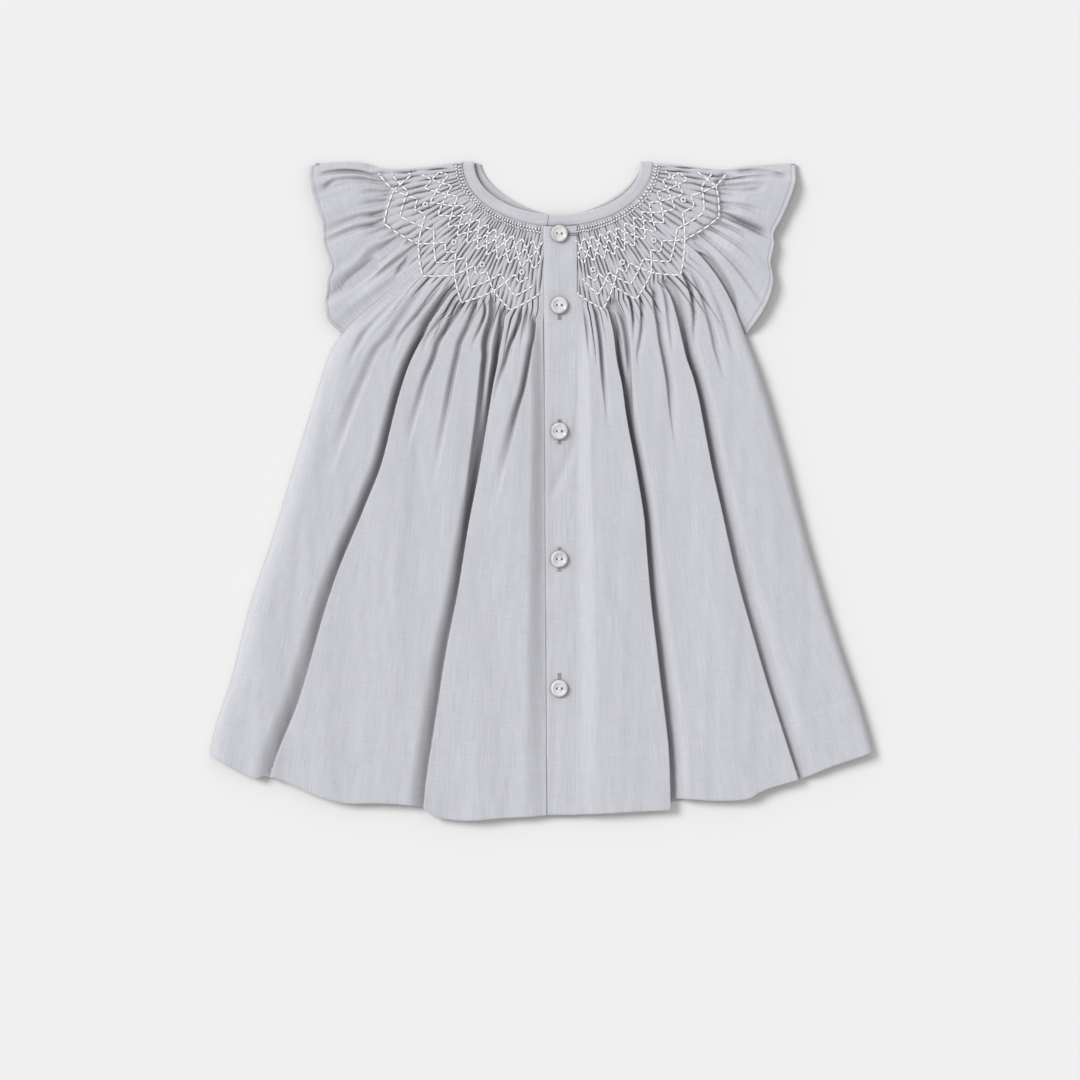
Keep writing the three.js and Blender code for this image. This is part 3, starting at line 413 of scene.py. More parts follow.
def curve(xs, ys, x):
    """A smooth curve through the points that never overshoots between them."""
    xs = np.asarray(xs, float)
    ys = np.asarray(ys, float)
    width = np.diff(xs)
    slope = np.diff(ys) / width
    tangent = np.zeros_like(ys)
    both = slope[:-1] * slope[1:] > 0
    total = np.where(both, slope[:-1] + slope[1:], 1.0)
    tangent[1:-1] = np.where(both, 2.0 * slope[:-1] * slope[1:] / total, 0.0)
    tangent[0] = slope[0]
    tangent[-1] = slope[-1]
    x = np.clip(x, xs[0], xs[-1])
    i = np.clip(np.searchsorted(xs, x, side="right") - 1, 0, len(xs) - 2)
    t = (x - xs[i]) / width[i]
    a = ys[i] * (2 * t**3 - 3 * t**2 + 1) + ys[i + 1] * (3 * t**2 - 2 * t**3)
    b = tangent[i] * (t**3 - 2 * t**2 + t) + tangent[i + 1] * (t**3 - t**2)
    return a + b * width[i]


def groove(offset, shape):
    """A soft groove or ridge: its depth beside its middle."""
    depth, width = shape
    return depth * np.exp(-((offset / width) ** 2))


def place(side, out, drop, z):
    """Points from their distance out from the centre back, their drop and their height."""
    return np.stack(np.broadcast_arrays(NECK[0] + side * out, NECK[1] - drop, z), axis=-1)


def placket_edge(side, level):
    """Distance of a panel's inner edge from the centre back."""
    if side == RIGHT:
        return np.full_like(np.asarray(level, float), PLACKET["right"])
    share = (np.asarray(level, float) - SEAM["drop"]) / (HEM_LEVEL - SEAM["drop"])
    return PLACKET["left"] + (PLACKET["left_at_hem"] - PLACKET["left"]) * share


def side_edge(side, level):
    """Distance out and drop of a panel's side edge at a level."""
    table = SIDES[side]
    return curve(table["level"], table["out"], level), curve(table["level"], table["drop"], level)


def row_of_weave(side, level):
    """The elliptical arc that a row of weave follows: its size, first and last turn and length."""
    out, drop = side_edge(side, level)
    last = np.arccos(np.minimum(drop / level, 1.0))
    across = out / np.sin(last)
    first = np.arcsin(placket_edge(side, level) / across)
    return across, first, last, across * (last - first)


def panel_point(side, share, level, z):
    """Points of a panel at a share of its width and a level."""
    across, first, last, _ = row_of_weave(side, level)
    turn = first + (last - first) * share
    return place(side, across * np.sin(turn), level * np.cos(turn), z)


def neck_ellipse(reach):
    """Half axes of the ellipse round the neck at a reach."""
    return (SEAM["across"] + (SMOCKING["across"] - SEAM["across"]) * reach,
            SEAM["drop"] + (SMOCKING["drop"] - SEAM["drop"]) * reach)


def neck_place(out, drop):
    """Turn round the neck and reach from its seam of places given by distance out and drop."""
    low = np.full(np.shape(out), -0.6)
    high = np.full(np.shape(out), 8.0)
    for _ in range(24):
        reach = (low + high) / 2
        across, tall = neck_ellipse(reach)
        outside = (out / across) ** 2 + (drop / tall) ** 2 > 1
        low = np.where(outside, reach, low)
        high = np.where(outside, high, reach)
    across, tall = neck_ellipse(low)
    return np.degrees(np.arctan2(out / across, drop / tall)), low


def valley_table(side):
    """Turns of the scallops' valleys and the numbers of the pleats that lie there."""
    turns = [turn for turn, _ in SCALLOPS[side]["valley"]]
    return turns, [k * PLEATS_PER_SCALLOP for k in range(len(turns))]


def pleat_number(side, turn):
    """Which pleat lies at a turn: whole numbers are the valleys between pleats."""
    turns, numbers = valley_table(side)
    slope = PLEATS_PER_SCALLOP / (turns[1] - turns[0])
    return np.where(turn < turns[0], (turn - turns[0]) * slope, np.interp(turn, turns, numbers))


def turn_of_pleat(side, number):
    """The turn at which a pleat lies."""
    turns, numbers = valley_table(side)
    slope = (turns[1] - turns[0]) / PLEATS_PER_SCALLOP
    return np.where(number < 0, turns[0] + number * slope, np.interp(number, numbers, turns))


def nearest_valley(number):
    """Which uneven value the nearest valley between pleats has, and the distance from it."""
    return np.round(number + 2).astype(int) % UNEVEN, np.abs(number - np.round(number)) * 2.0


def scallop_reach(side, turn):
    """Reach of the scalloped edge at a turn round the neck."""
    table = SCALLOPS[side]
    points = sorted(table["valley"] + table["tip"])
    return np.interp(turn, [p[0] for p in points], [p[1] for p in points])


def smocked_share(side, turn, reach):
    """1 in the smocking and 0 below its scallops, with a soft step between."""
    return 1.0 - smooth((reach - scallop_reach(side, turn)) / SCALLOP_BLEND + 0.5)


def near_seam(height, reach):
    """Draws the cloth to the height of the neck seam beside it."""
    return height + (SEAM_RISE + SEAM_FOLLOW * height - height) * (1 - smooth(reach / SEAM_BLEND))


def soft_noise(rng, a, b, high, waves, scale_a, scale_b):
    """Smooth uneven relief over two grids, as a sum of seeded slanted waves."""
    total = np.zeros(np.broadcast(a, b).shape)
    for _ in range(waves):
        turns_a = rng.uniform(0.5, 1.6) / scale_a
        turns_b = rng.uniform(-1.2, 1.2) / scale_b
        phase = rng.uniform(0, math.tau)
        total += np.sin(math.tau * (turns_a * a + turns_b * b) + phase)
    return high * (total / math.sqrt(waves))


def pleat_relief(side, turn, reach, depth):
    """Height of the smocked pleats over the floor of the back, with uneven depths."""
    number = pleat_number(side, turn)
    rng = np.random.default_rng(3 + side)
    phase = rng.uniform(0, math.tau, UNEVEN)
    rate = rng.uniform(9.0, 17.0, UNEVEN)
    nearest, _ = nearest_valley(number)
    wander = 0.09 * np.sin(reach * 8.0 + number * 0.7) + 0.05 * np.sin(reach * 23.0 + number * 2.1)
    ridge = np.abs(np.sin(math.pi * (number + wander))) ** 0.42
    closed = 0.5 + 0.5 * np.sin(reach * rate[nearest] + phase[nearest])
    filled = 0.8 * closed**1.3 * (1.0 - ridge)
    shallow = 0.55 + 0.45 * smooth(reach / 0.3)
    return depth * (1.0 + (ridge + filled - 1.0) * shallow) - PLEAT_SINK


def gather_out(turn, drop):
    """How far out a gather line lies at a drop: radial at the smocking, then bending down."""
    angle = np.radians(turn)
    run = np.maximum(drop - SMOCKING["drop"] * np.cos(angle), 0.0)
    radial = SMOCKING["across"] / SMOCKING["drop"] * np.tan(np.minimum(angle, 1.2))
    bent = GATHER_BEND * (1.0 - np.exp(-run / GATHER_BEND))
    return SMOCKING["across"] * np.sin(angle) + radial * bent + 0.3 * radial * (run - bent)


def gather_turn(out, drop, turn):
    """Turn round the neck at which the gather line through a place leaves the smocking."""
    for _ in range(6):
        line = gather_out(turn, drop)
        slope = (gather_out(turn + 0.5, drop) - line) / 0.5
        turn = turn + np.clip((out - line) / np.maximum(slope, 0.3), -4.0, 4.0)
    return turn


def gather_dips(side, out, drop, turn):
    """Narrow dips that run on from the pleats' valleys below the scallops and fade out."""
    turn = gather_turn(out, drop, turn)
    number = pleat_number(side, turn)
    edge = neck_ellipse(scallop_reach(side, turn))[1] * np.cos(np.radians(turn))
    rng = np.random.default_rng(5 + side)
    lengths = rng.choice(GATHER_LENGTHS, UNEVEN) * rng.uniform(0.8, 1.25, UNEVEN)
    depths = rng.uniform(0.7, 2.6, UNEVEN)
    widths = rng.uniform(1.6, 3.4, UNEVEN)
    nearest, offset = nearest_valley(number)
    past = np.maximum(drop - edge, 0.0) / lengths[nearest]
    narrow = widths[nearest] * (1.0 + 0.8 * past)
    return depths[nearest] * (1.0 - smooth(past)) * (1.0 - smooth(offset * narrow)) ** 1.2


def crease_dips(creases, out, drop):
    """Dip of single listed creases, softly ended."""
    total = np.zeros(np.broadcast(out, drop).shape)
    for crease in creases:
        path = np.array(crease["path"])
        knots = np.linspace(0, 1, len(path))
        steps = np.linspace(0, 1, 36)
        path_out = curve(knots, path[:, 0], steps)
        path_drop = curve(knots, path[:, 1], steps)
        nearest = np.full(total.shape, 1e9)
        along = np.zeros(total.shape)
        for step, x, y in zip(steps, path_out, path_drop):
            distance = np.hypot(out - x, drop - y)
            along = np.where(distance < nearest, step, along)
            nearest = np.minimum(nearest, distance)
        half = curve((0.0, 0.5, 1.0), crease["half"], along)
        ends = smooth(along * 6.0) * smooth((1 - along) * 4.0)
        total += crease["depth"] * (1 - smooth(nearest / (half * 1.5))) * ends
    return total


def fold_shape(side, share, level, length):
    """Dip and sideways lean of all of a panel's folds."""
    dip = np.zeros_like(share * level)
    lean = np.zeros_like(dip)
    for row in FOLDS[side]:
        fold = dict(zip(FOLD_COLUMNS, row))
        centre = curve(FOLD_LEVELS, fold["at"], level)
        offset = (share - centre) * length
        whole = fold["hem_depth"] > 0
        down = (level - UNDERARM) / (HEM_LEVEL - UNDERARM)
        spread = 1.0 + (0.6 * smooth(down) if whole else 0.5 * smooth(down * 2.5))
        near = fold["near"] * spread
        far = fold["far"] * spread
        shape = np.where(offset < 0, 1 - smooth(-offset / near), (1 - smooth(offset / far)) ** 1.3)
        start = smooth((level - fold["start"]) / 9.0)
        if whole:
            strength = start * (fold["depth"] + (fold["hem_depth"] - fold["depth"]) * smooth(down))
            fade = start
        else:
            middle = fold["start"] + 0.35 * (fold["until"] - fold["start"])
            fade = start * (1 - smooth((level - middle) / (fold["until"] - middle)))
            strength = fold["depth"] * fade
        dip += strength * shape
        behind = np.where(offset < -near, 1 - smooth((-offset - near) / 14.0), smooth(-offset / near))
        lean += fold["lean"] * fade * np.where(offset < 0, behind, 0.0)
    return dip, lean


def cloth_height(side, share, level, pleat_depth, rumple):
    """Height and sideways lean of a back panel's upper face."""
    _, _, _, length = row_of_weave(side, level)
    spot = panel_point(side, share, level, 0.0)
    out = side * (spot[..., 0] - NECK[0])
    drop = NECK[1] - spot[..., 1]
    turn, reach = neck_place(out, drop)
    inside = smocked_share(side, turn, reach)
    from_placket = share * length
    from_side = (1.0 - share) * length
    rng = np.random.default_rng(11 + side)
    rolling = sum(soft_noise(rng, from_placket, level, *row) for row in ROLLING)
    rolling = rolling * smooth((level - UNDERARM) / 60.0)
    creases = soft_noise(rng, from_placket, level, *CREASING) * smooth((level - 95) / 30.0)
    height = curve(LOFT["level"], LOFT["rise"], level) + rumple * (rolling + creases)
    dip, lean = fold_shape(side, share, level, length)
    height = height - dip
    height -= gather_dips(side, out, drop, turn) * (1 - inside)
    height -= crease_dips(BODY_CREASES[side], out, drop)
    edge = RIGHT_PLACKET_RISE
    if side == LEFT:
        edge = curve(PLACKET_RISE["level"], PLACKET_RISE["rise"], level)
    run = curve(PLACKET_RUN["level"], PLACKET_RUN["width"], level)
    height = edge + (height - edge) * smooth(from_placket / run)
    height = np.maximum(height, -0.9 + 0.12 * height)
    below_arm = smooth((level - UNDERARM + 14.0) / 16.0)
    side_round = np.sqrt(np.clip(1 - (1 - np.clip(from_side / SIDE_ROLL[side], 0, 1)) ** 2, 0, 1))
    side_round = 1.0 - (1.0 - side_round) * below_arm
    height = (height - SIDE_EDGE[side]) * side_round + SIDE_EDGE[side]
    raglan = (1.0 - smooth(from_side / RAGLAN_ROLL)) * (1.0 - below_arm)
    height = height + (RAGLAN_HEIGHT[side] - height) * raglan
    height = height * (1 - inside) + pleat_relief(side, turn, reach, pleat_depth) * inside
    height = near_seam(np.maximum(height, LOWEST["smocked"]), reach)
    return FLOOR + height, lean * (1 - inside)


def quads_of(index):
    """Faces between the neighbours in a grid of point numbers."""
    quads = np.stack([index[:-1, :-1], index[1:, :-1], index[1:, 1:], index[:-1, 1:]], axis=-1)
    return quads.reshape(-1, 4)


def grid_faces(rows, cols, first=0):
    """Faces of a grid whose points are numbered row by row."""
    return quads_of(first + np.arange(rows * cols).reshape(rows, cols))


def moved(points, right, up, rise):
    """A copy of points, moved on the table and in height."""
    return points + np.array([right, up, rise])


def new_object(name, points, faces, material, uv=None):
    """A smooth-shaded mesh object from points in millimetres, with cloth coordinates as UVs."""
    mesh = bpy.data.meshes.new(name)
    faces = faces if isinstance(faces, list) else faces.tolist()
    mesh.from_pydata((points.reshape(-1, 3) * MM).tolist(), [], faces)
    mesh.polygons.foreach_set("use_smooth", np.ones(len(mesh.polygons), dtype=bool))
    if uv is not None:
        layer = mesh.uv_layers.new(name="cloth")
        corner = np.empty(len(mesh.loops), dtype=np.int32)
        mesh.loops.foreach_get("vertex_index", corner)
        layer.data.foreach_set("uv", (uv.reshape(-1, 2)[corner] * MM).ravel())
    mesh.materials.append(material)
    obj = bpy.data.objects.new(name, mesh)
    bpy.context.scene.collection.objects.link(obj)
    return obj


def face_up(points, faces):
    """Turns the faces over where most of them look down."""
    flat = points.reshape(-1, 3)
    a = flat[faces[:, 1]] - flat[faces[:, 0]]
    b = flat[faces[:, 2]] - flat[faces[:, 0]]
    return faces if np.cross(a, b)[:, 2].sum() > 0 else faces[:, ::-1]


def finish_piece(obj, slot, *nodes):
    """Fixes a piece to the dress and hides the solids it stands for."""
    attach(obj, "root")
    for node in nodes:
        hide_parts(node)


def build_back(side, sizes, material):
    """One gathered back panel: smocked yoke, skirt, turned hem and its edge under the placket."""
    share = np.linspace(0.0, 1.0, sizes.columns)
    yoke = np.arange(SEAM["drop"], YOKE_END, sizes.yoke_step / MM)
    skirt = np.arange(YOKE_END, HEM_LEVEL, sizes.skirt_step / MM)
    base = np.concatenate([yoke, skirt, [HEM_LEVEL]])
    hem = curve(HEM[side]["share"], HEM[side]["level"], share)
    near_hem = smooth((base - HEM_WAVE_START) / (HEM_LEVEL - HEM_WAVE_START))
    level = base[:, None] + (hem[None, :] - HEM_LEVEL) * near_hem[:, None]
    across = np.broadcast_to(share[None, :], level.shape)
    z, lean = cloth_height(side, across, level, sizes.pleat_depth / MM, sizes.rumple)
    hem_line = level - (hem[None, :] - DOUBLED_HEM)
    z = z + HEM_STEP * smooth(hem_line / 1.2) - groove(hem_line, HEM_GROOVE)
    _, _, _, length = row_of_weave(side, level)
    rows = [panel_point(side, across + lean / length, level, z)]
    flat_width = sizes.back_flat_width / MM
    flats = [np.stack([across * flat_width, level], axis=-1)]
    for inward, down in HEM_TURN:
        turned = panel_point(side, across[-1] + lean[-1] / length[-1], level[-1] - inward, z[-1] - down)
        rows.append(turned[None])
        flats.append(np.stack([across[-1] * flat_width, level[-1] + inward + 1.0], axis=-1)[None])
    points = np.concatenate(rows)
    uv = np.concatenate(flats)
    lap = []
    for out, down in reversed(LAPS[side]):
        lap_z = np.maximum(points[:, 0, 2] - down, LAP_HEIGHT)
        lap.append(place(side, np.full(len(points), out), NECK[1] - points[:, 0, 1], lap_z))
    rim = []
    for inward, down in SIDE_RIM:
        edge = moved(points[:, -1], -side * inward, 0.0, -down)
        edge[:, 2] = np.maximum(edge[:, 2], SIDE_RIM_LOWEST)
        rim.append(edge)
    lap_uv = np.repeat(uv[:, :1], len(lap), axis=1)
    lap_uv[..., 0] -= np.linspace(*LAP_WEAVE, len(lap))
    points = np.concatenate([np.stack(lap, axis=1), points, np.stack(rim, axis=1)], axis=1)
    uv = np.concatenate([lap_uv, uv, uv[:, -1:] + 0.5, uv[:, -1:] + 1.2], axis=1)
    name = f"back_{SIDE_NAMES[side]}"
    faces = face_up(points, grid_faces(*points.shape[:2]))
    finish_piece(new_object(f"{name}_cloth", points, faces, material, uv), "cloth", name)


def sleeve_turn(side, across):
    """Turn round the neck across a sleeve's smocking, from the raglan seam to the shoulder."""
    return RAGLAN_TURN[side] + (90.0 - RAGLAN_TURN[side]) * across


def sleeve_row(side, across, reach):
    """Places across a sleeve's smocking at a reach from the neck seam."""
    wide, tall = neck_ellipse(reach)
    turn = np.radians(sleeve_turn(side, across))
    return wide * np.sin(turn), tall * np.cos(turn)


def sleeve_hem(side, across):
    """Places along the sleeve's edge, from the underarm to the shoulder."""
    table = SLEEVE_HEMS[side]
    steps = np.hypot(np.diff(table["out"]), np.diff(table["drop"]))
    along = np.concatenate([[0.0], np.cumsum(steps)]) / np.sum(steps)
    return curve(along, table["out"], across), curve(along, table["drop"], across)


def shoulder_dip(side, out):
    """How far the fold at the shoulder lies below the shoulder line."""
    return curve(SHOULDERS[side]["out"], SHOULDERS[side]["dip"], out)


def raglan_reach(side):
    """Reach at which the smocking ends on the raglan seam."""
    return (SMOCKED_EDGE[side] - SEAM["drop"]) / (SMOCKING["drop"] - SEAM["drop"])


def sleeve_reach(side, across, turn):
    """Reach of the row where a sleeve's smocking ends and its flutter begins."""
    edge = scallop_reach(side, turn)
    return edge + (raglan_reach(side) - edge) * (1 - smooth(across / 0.12))


def sleeve_plan(side, across, travel):
    """Where a sleeve's cloth lies. travel runs 0 to 1 over its smocking, 1 to 2 to its edge."""
    smocked = travel <= 1
    flutter = np.clip(travel - 1.0, 0.0, 1.0)

    def lay(across, reach):
        """Places from the neck seam to the sleeve's edge, through the reach that ends the smocking."""
        yokes = sleeve_row(side, across, reach * np.clip(travel, 0, 1))
        tops = sleeve_row(side, across, reach)
        hems = sleeve_hem(side, across)
        return [np.where(smocked, yoke, top + (hem - top) * flutter)
                for yoke, top, hem in zip(yokes, tops, hems)]

    zero = np.zeros_like(across)
    out, drop = lay(across, sleeve_reach(side, across, sleeve_turn(side, across)))
    first_out, first_drop = lay(zero, raglan_reach(side) + zero)
    edge = SMOCKED_EDGE[side]
    level = np.where(
        smocked, SEAM["drop"] + (edge - SEAM["drop"]) * travel, edge + (UNDERARM - edge) * flutter)
    side_out, side_drop = side_edge(side, level)
    pull = (1 - across) ** 2
    out = out + (side_out - first_out) * pull
    drop = drop + (side_drop - first_drop) * pull
    drop = drop + shoulder_dip(side, out) * across**2 * np.where(smocked, 1, 1 - flutter)
    return out, drop


def sleeve_height(side, across, travel, pleat_depth):
    """Height of a sleeve's upper leaf."""
    out, drop = sleeve_plan(side, across, travel)
    turn, reach = neck_place(out, drop)
    smocked = smocked_share(side, turn, reach)
    flutter = np.clip(travel - 1.0, 0.0, 1.0)
    rng = np.random.default_rng(21 + side)
    lengths = rng.uniform(0.15, 0.75, UNEVEN)
    depths = rng.uniform(0.4, 1.3, UNEVEN)
    nearest, offset = nearest_valley(pleat_number(side, turn))
    dips = depths[nearest] * (1 - smooth(flutter / lengths[nearest])) * (1 - smooth(offset * 1.2))
    height = SLEEVE_LOFT[side] * smooth(flutter * 2.2) * (1 - 0.3 * flutter)
    height = height * smooth(across * 9 + 0.15) * smooth((1 - across) * 7 + 0.1)
    rolling = soft_noise(rng, across * SLEEVE_SPAN[0], flutter * SLEEVE_SPAN[1], *SLEEVE_ROLLING)
    height = height + rolling * smooth(flutter * 3)
    for row in FLUTES[side]:
        flute = dict(zip(FLUTE_COLUMNS, row))
        centre = curve((0.0, 0.5, 1.0), (flute["top"], flute["middle"], flute["hem"]), flutter)
        away = across - centre
        half = np.where(away < 0, flute["lower"], flute["upper"]) * (1 + 0.8 * flutter)
        start = smooth(flutter * 8 + 0.3)
        fade = start * (1 - smooth((flutter / flute["until"] - 0.5) * 2))
        height = height - flute["depth"] * (1 - smooth(np.abs(away) / half)) * fade
    height = np.maximum(height - dips, LOWEST["sleeve"])
    body = RAGLAN_HEIGHT[side] - SLEEVE_UNDER_SEAM[side]
    height = height + (body - height) * (1 - smooth(across / 0.10))
    sunk = (RAGLAN_HEIGHT[side] - 0.5) * smooth((flutter - 0.65) / 0.35)
    height -= sunk * (1 - smooth(across / 0.06))
    height -= crease_dips(SLEEVE_CREASES[side], out, drop)
    height -= groove(flutter - SLEEVE_HEM_TURN, SLEEVE_GROOVE)
    height = np.maximum(height, LOWEST["sleeve"])
    height = height * (1 - smocked) + pleat_relief(side, turn, reach, pleat_depth) * smocked
    return FLOOR + near_seam(height, reach)


def build_sleeve(side, sizes, material):
    """A flutter sleeve: pleated upper leaf, the fold at the shoulder and a plain lower leaf."""
    across = np.linspace(0.0, 1.0, sizes.sleeve_columns)
    travel = np.concatenate([np.linspace(0, 1, SLEEVE_ROWS)[:-1], np.linspace(1, 2, SLEEVE_ROWS)])
    grid_across, grid_travel = np.meshgrid(across, travel)
    out, drop = sleeve_plan(side, grid_across, grid_travel)
    z = sleeve_height(side, grid_across, grid_travel, sizes.pleat_depth / MM)
    upper = place(side, out, drop, z)
    tucked = moved(upper[:, :1], -side * SEAM_TUCK, -SEAM_TUCK, -SLEEVE_LEAF["tuck"])
    columns = [tucked, upper]
    edge = upper[:, -1]
    half = edge[:, 2] / 2.0
    for angle in np.linspace(0, 180, 9)[1:-1]:
        bend = moved(edge, 0.0, SLEEVE_LEAF["bulge"] * math.sin(math.radians(angle)), 0.0)
        bend[:, 2] = half + (half - SLEEVE_LEAF["bottom"]) * math.cos(math.radians(angle))
        columns.append(bend[:, None])
    low_across, low_travel = np.meshgrid(np.linspace(1.0, 0.0, LOWER_LEAF_COLUMNS), travel)
    low_out, low_drop = sleeve_plan(side, low_across, low_travel)
    columns.append(place(side, low_out, low_drop, SLEEVE_LEAF["bottom"]))
    points = np.concatenate(columns, axis=1)
    from_neck = points[:, :, :2] - np.array(NECK)
    length = np.hypot(from_neck[..., 0], from_neck[..., 1])
    count = points.shape[1]
    flat = np.broadcast_to(np.linspace(0, 2 * SLEEVE_SPAN[0], count)[None, :], length.shape)
    uv = np.stack([length, flat], axis=-1)
    last = points[-1]
    rim = moved(last, 0.0, 0.0, -SLEEVE_LEAF["rim"])
    inner = last + (points[-4] - last) * 1.5
    inner[:, 2] = rim[:, 2] - SLEEVE_LEAF["inner"]
    lower = np.arange(count) > sizes.sleeve_columns
    rim[lower, 2] = last[lower, 2] + SLEEVE_LEAF["low_rim"]
    inner[lower, 2] = last[lower, 2] + SLEEVE_LEAF["low_inner"]
    points = np.concatenate([points, rim[None], inner[None]])
    uv = np.concatenate([uv, uv[-1:] + 0.5, uv[-1:] + 1.5])
    faces = grid_faces(*points.shape[:2])
    upper_faces = grid_faces(*upper.shape[:2])
    if not np.array_equal(face_up(upper, upper_faces), upper_faces):
        faces = faces[:, ::-1]
    name = f"sleeve_{SIDE_NAMES[side]}"
    finish_piece(new_object(f"{name}_cloth", points, faces, material, uv), "cloth", name)


def build_front(material):
    """The lower panel, lying flat on the table with soft edges."""
    yoke = np.linspace(SEAM["drop"], UNDERARM, 24)[:-1]
    levels = np.concatenate([yoke, np.linspace(UNDERARM, FRONT_LEAF["end"], 60)])
    shares = np.linspace(0, 1, 40)[1:]

    def row(side):
        out, drop = side_edge(side, levels)
        last = np.arccos(drop / levels)
        wide = out / np.sin(last)
        turn = last[:, None] * shares[None, :]
        return place(side, wide[:, None] * np.sin(turn), levels[:, None] * np.cos(turn), 0.0)

    middle = place(LEFT, np.zeros_like(levels), levels, 0.0)[:, None]
    flat = np.concatenate([row(LEFT)[:, ::-1], middle, row(RIGHT)], axis=1)
    rows, cols = flat.shape[:2]
    index = np.arange(rows * cols).reshape(rows, cols)
    edge = np.concatenate([index[0], index[1:, -1], index[-1, -2::-1], index[-2:0:-1, 0]])
    after = np.roll(edge, -1)
    side_faces = np.stack([edge, after, after + rows * cols, edge + rows * cols], axis=-1)
    lower = grid_faces(rows, cols, rows * cols)[:, ::-1]
    faces = np.concatenate([grid_faces(rows, cols), lower, side_faces])
    leaves = [moved(flat, 0.0, 0.0, FRONT_LEAF[leaf]).reshape(-1, 3) for leaf in ("top", "bottom")]
    points = np.concatenate(leaves)
    uv = points[:, :2] - points[:, :2].min(axis=0)
    obj = new_object("front_cloth", points, faces, material, uv)
    make_outward(obj)
    finish_piece(obj, "cloth", "front")


def make_outward(obj):
    """Points a closed mesh's faces outwards."""
    work = bmesh.new()
    work.from_mesh(obj.data)
    bmesh.ops.recalc_face_normals(work, faces=work.faces)
    work.to_mesh(obj.data)
    work.free()


def round_power(value, power):
    """A sine or cosine raised to a power, with its sign kept."""
    return np.sign(value) * np.abs(value) ** power


def build_neck_band(material):
    """The neck band: a soft folded strip over both shoulders, open at the centre back."""
    outer = [SEAM["across"] + BAND_OVERLAP, SEAM["drop"] + BAND_OVERLAP]
    inner = [SEAM["across"] - BAND_WIDTH, SEAM["drop"] - BAND_WIDTH]
    around = np.linspace(0, math.tau, 24, endpoint=False)
    swell = round_power(np.cos(around), 0.6)
    sections = []

    def section(near, far, z, turn_up, thick):
        """A closed oval section between two edge points of the strip."""
        middle = (np.array(near) + np.array(far)) / 2
        half = (np.array(far) - np.array(near)) / 2
        flat = middle[None] + half[None] * swell[:, None]
        rise = thick / 2 * round_power(np.sin(around), 0.7)
        x = NECK[0] + flat[:, 0]
        y = NECK[1] - flat[:, 1] + rise * math.sin(turn_up)
        sections.append(np.stack([x, y, z + rise * math.cos(turn_up)], axis=-1))

    def back(side, turn):
        t = math.radians(turn)
        return [(side * across * math.sin(t), drop * math.cos(t)) for across, drop in (inner, outer)]

    def front(turn):
        t = math.radians(turn)
        power = 2.0 / FRONT_NECK["power"]
        near_x = FRONT_NECK["shift"] + FRONT_NECK["across"] * round_power(math.sin(t), power)
        near_y = FRONT_NECK["drop"] * max(round_power(math.cos(t), power), 0.0)
        return [(near_x, near_y), (outer[0] * math.sin(t), outer[1] * math.cos(t))]

    def fold(side, angles):
        """Sections that roll over the shoulder between the back and the front."""
        near, far = back(side, BAND_FOLD["turn"])
        for angle in np.radians(angles):
            lift = BAND_FOLD["out"] * math.sin(angle)
            z = BAND_FOLD["middle"] + BAND_FOLD["rise"] * math.cos(angle)
            section((near[0], near[1] - lift), (far[0], far[1] - lift), z, angle, BAND_FOLD["thick"])

    left_end = math.degrees(math.asin(PLACKET["left_at_hem"] / outer[0]))
    right_end = -math.degrees(math.asin((PLACKET["left_at_hem"] - CLEARANCE) / outer[0]))
    for turn in [left_end] + np.linspace(left_end + BAND_STEP, BAND_FOLD["turn"], 46).tolist():
        section(*back(LEFT, turn), BAND["back"], 0.0, BAND["thick"])
    fold(LEFT, (45, 90, 135))
    for turn in np.linspace(-90, 90, 100):
        section(*front(turn), BAND["front"], math.pi, BAND["thick"])
    fold(RIGHT, (135, 90, 45))
    for turn in np.linspace(BAND_FOLD["turn"], right_end + BAND_STEP, 50).tolist() + [right_end]:
        section(*back(RIGHT, turn), BAND["back"], 0.0, BAND["thick"])
    points = np.stack(sections)
    rows, ring = points.shape[:2]
    index = np.arange(rows * ring).reshape(rows, ring)
    faces = quads_of(np.concatenate([index, index[:, :1]], axis=1)).tolist()
    faces += [index[0].tolist(), index[-1, ::-1].tolist()]
    steps = np.linalg.norm(np.diff(points.mean(axis=1), axis=0), axis=1)
    lengths = np.concatenate([[0], np.cumsum(steps)])
    across = np.broadcast_to(np.linspace(0, 2 * BAND_WIDTH, ring)[None, :], (rows, ring))
    uv = np.stack([across, np.broadcast_to(lengths[:, None], across.shape)], axis=-1)
    obj = new_object("neck_band_cloth", points, faces, material, uv)
    make_outward(obj)
    finish_piece(obj, "cloth", "neck_band")


def placket_height(out, drop):
    """Height of the placket's face, with one soft slanting crease and a lifted edge."""
    rng = np.random.default_rng(41)
    z = PLACKET["top"] + soft_noise(rng, out, drop, *PLACKET_ROLLING)
    crease_out = curve(PLACKET_FOLD["level"], PLACKET_FOLD["out"], drop)
    start, end = PLACKET_FOLD["fade"]
    strength = smooth((drop - start) / 20) * (1 - smooth((drop - end) / 20))
    z = z - strength * groove(out - crease_out, PLACKET_CREASE)
    return z + groove(out - PLACKET_RIDGE_OUT, PLACKET_RIDGE)


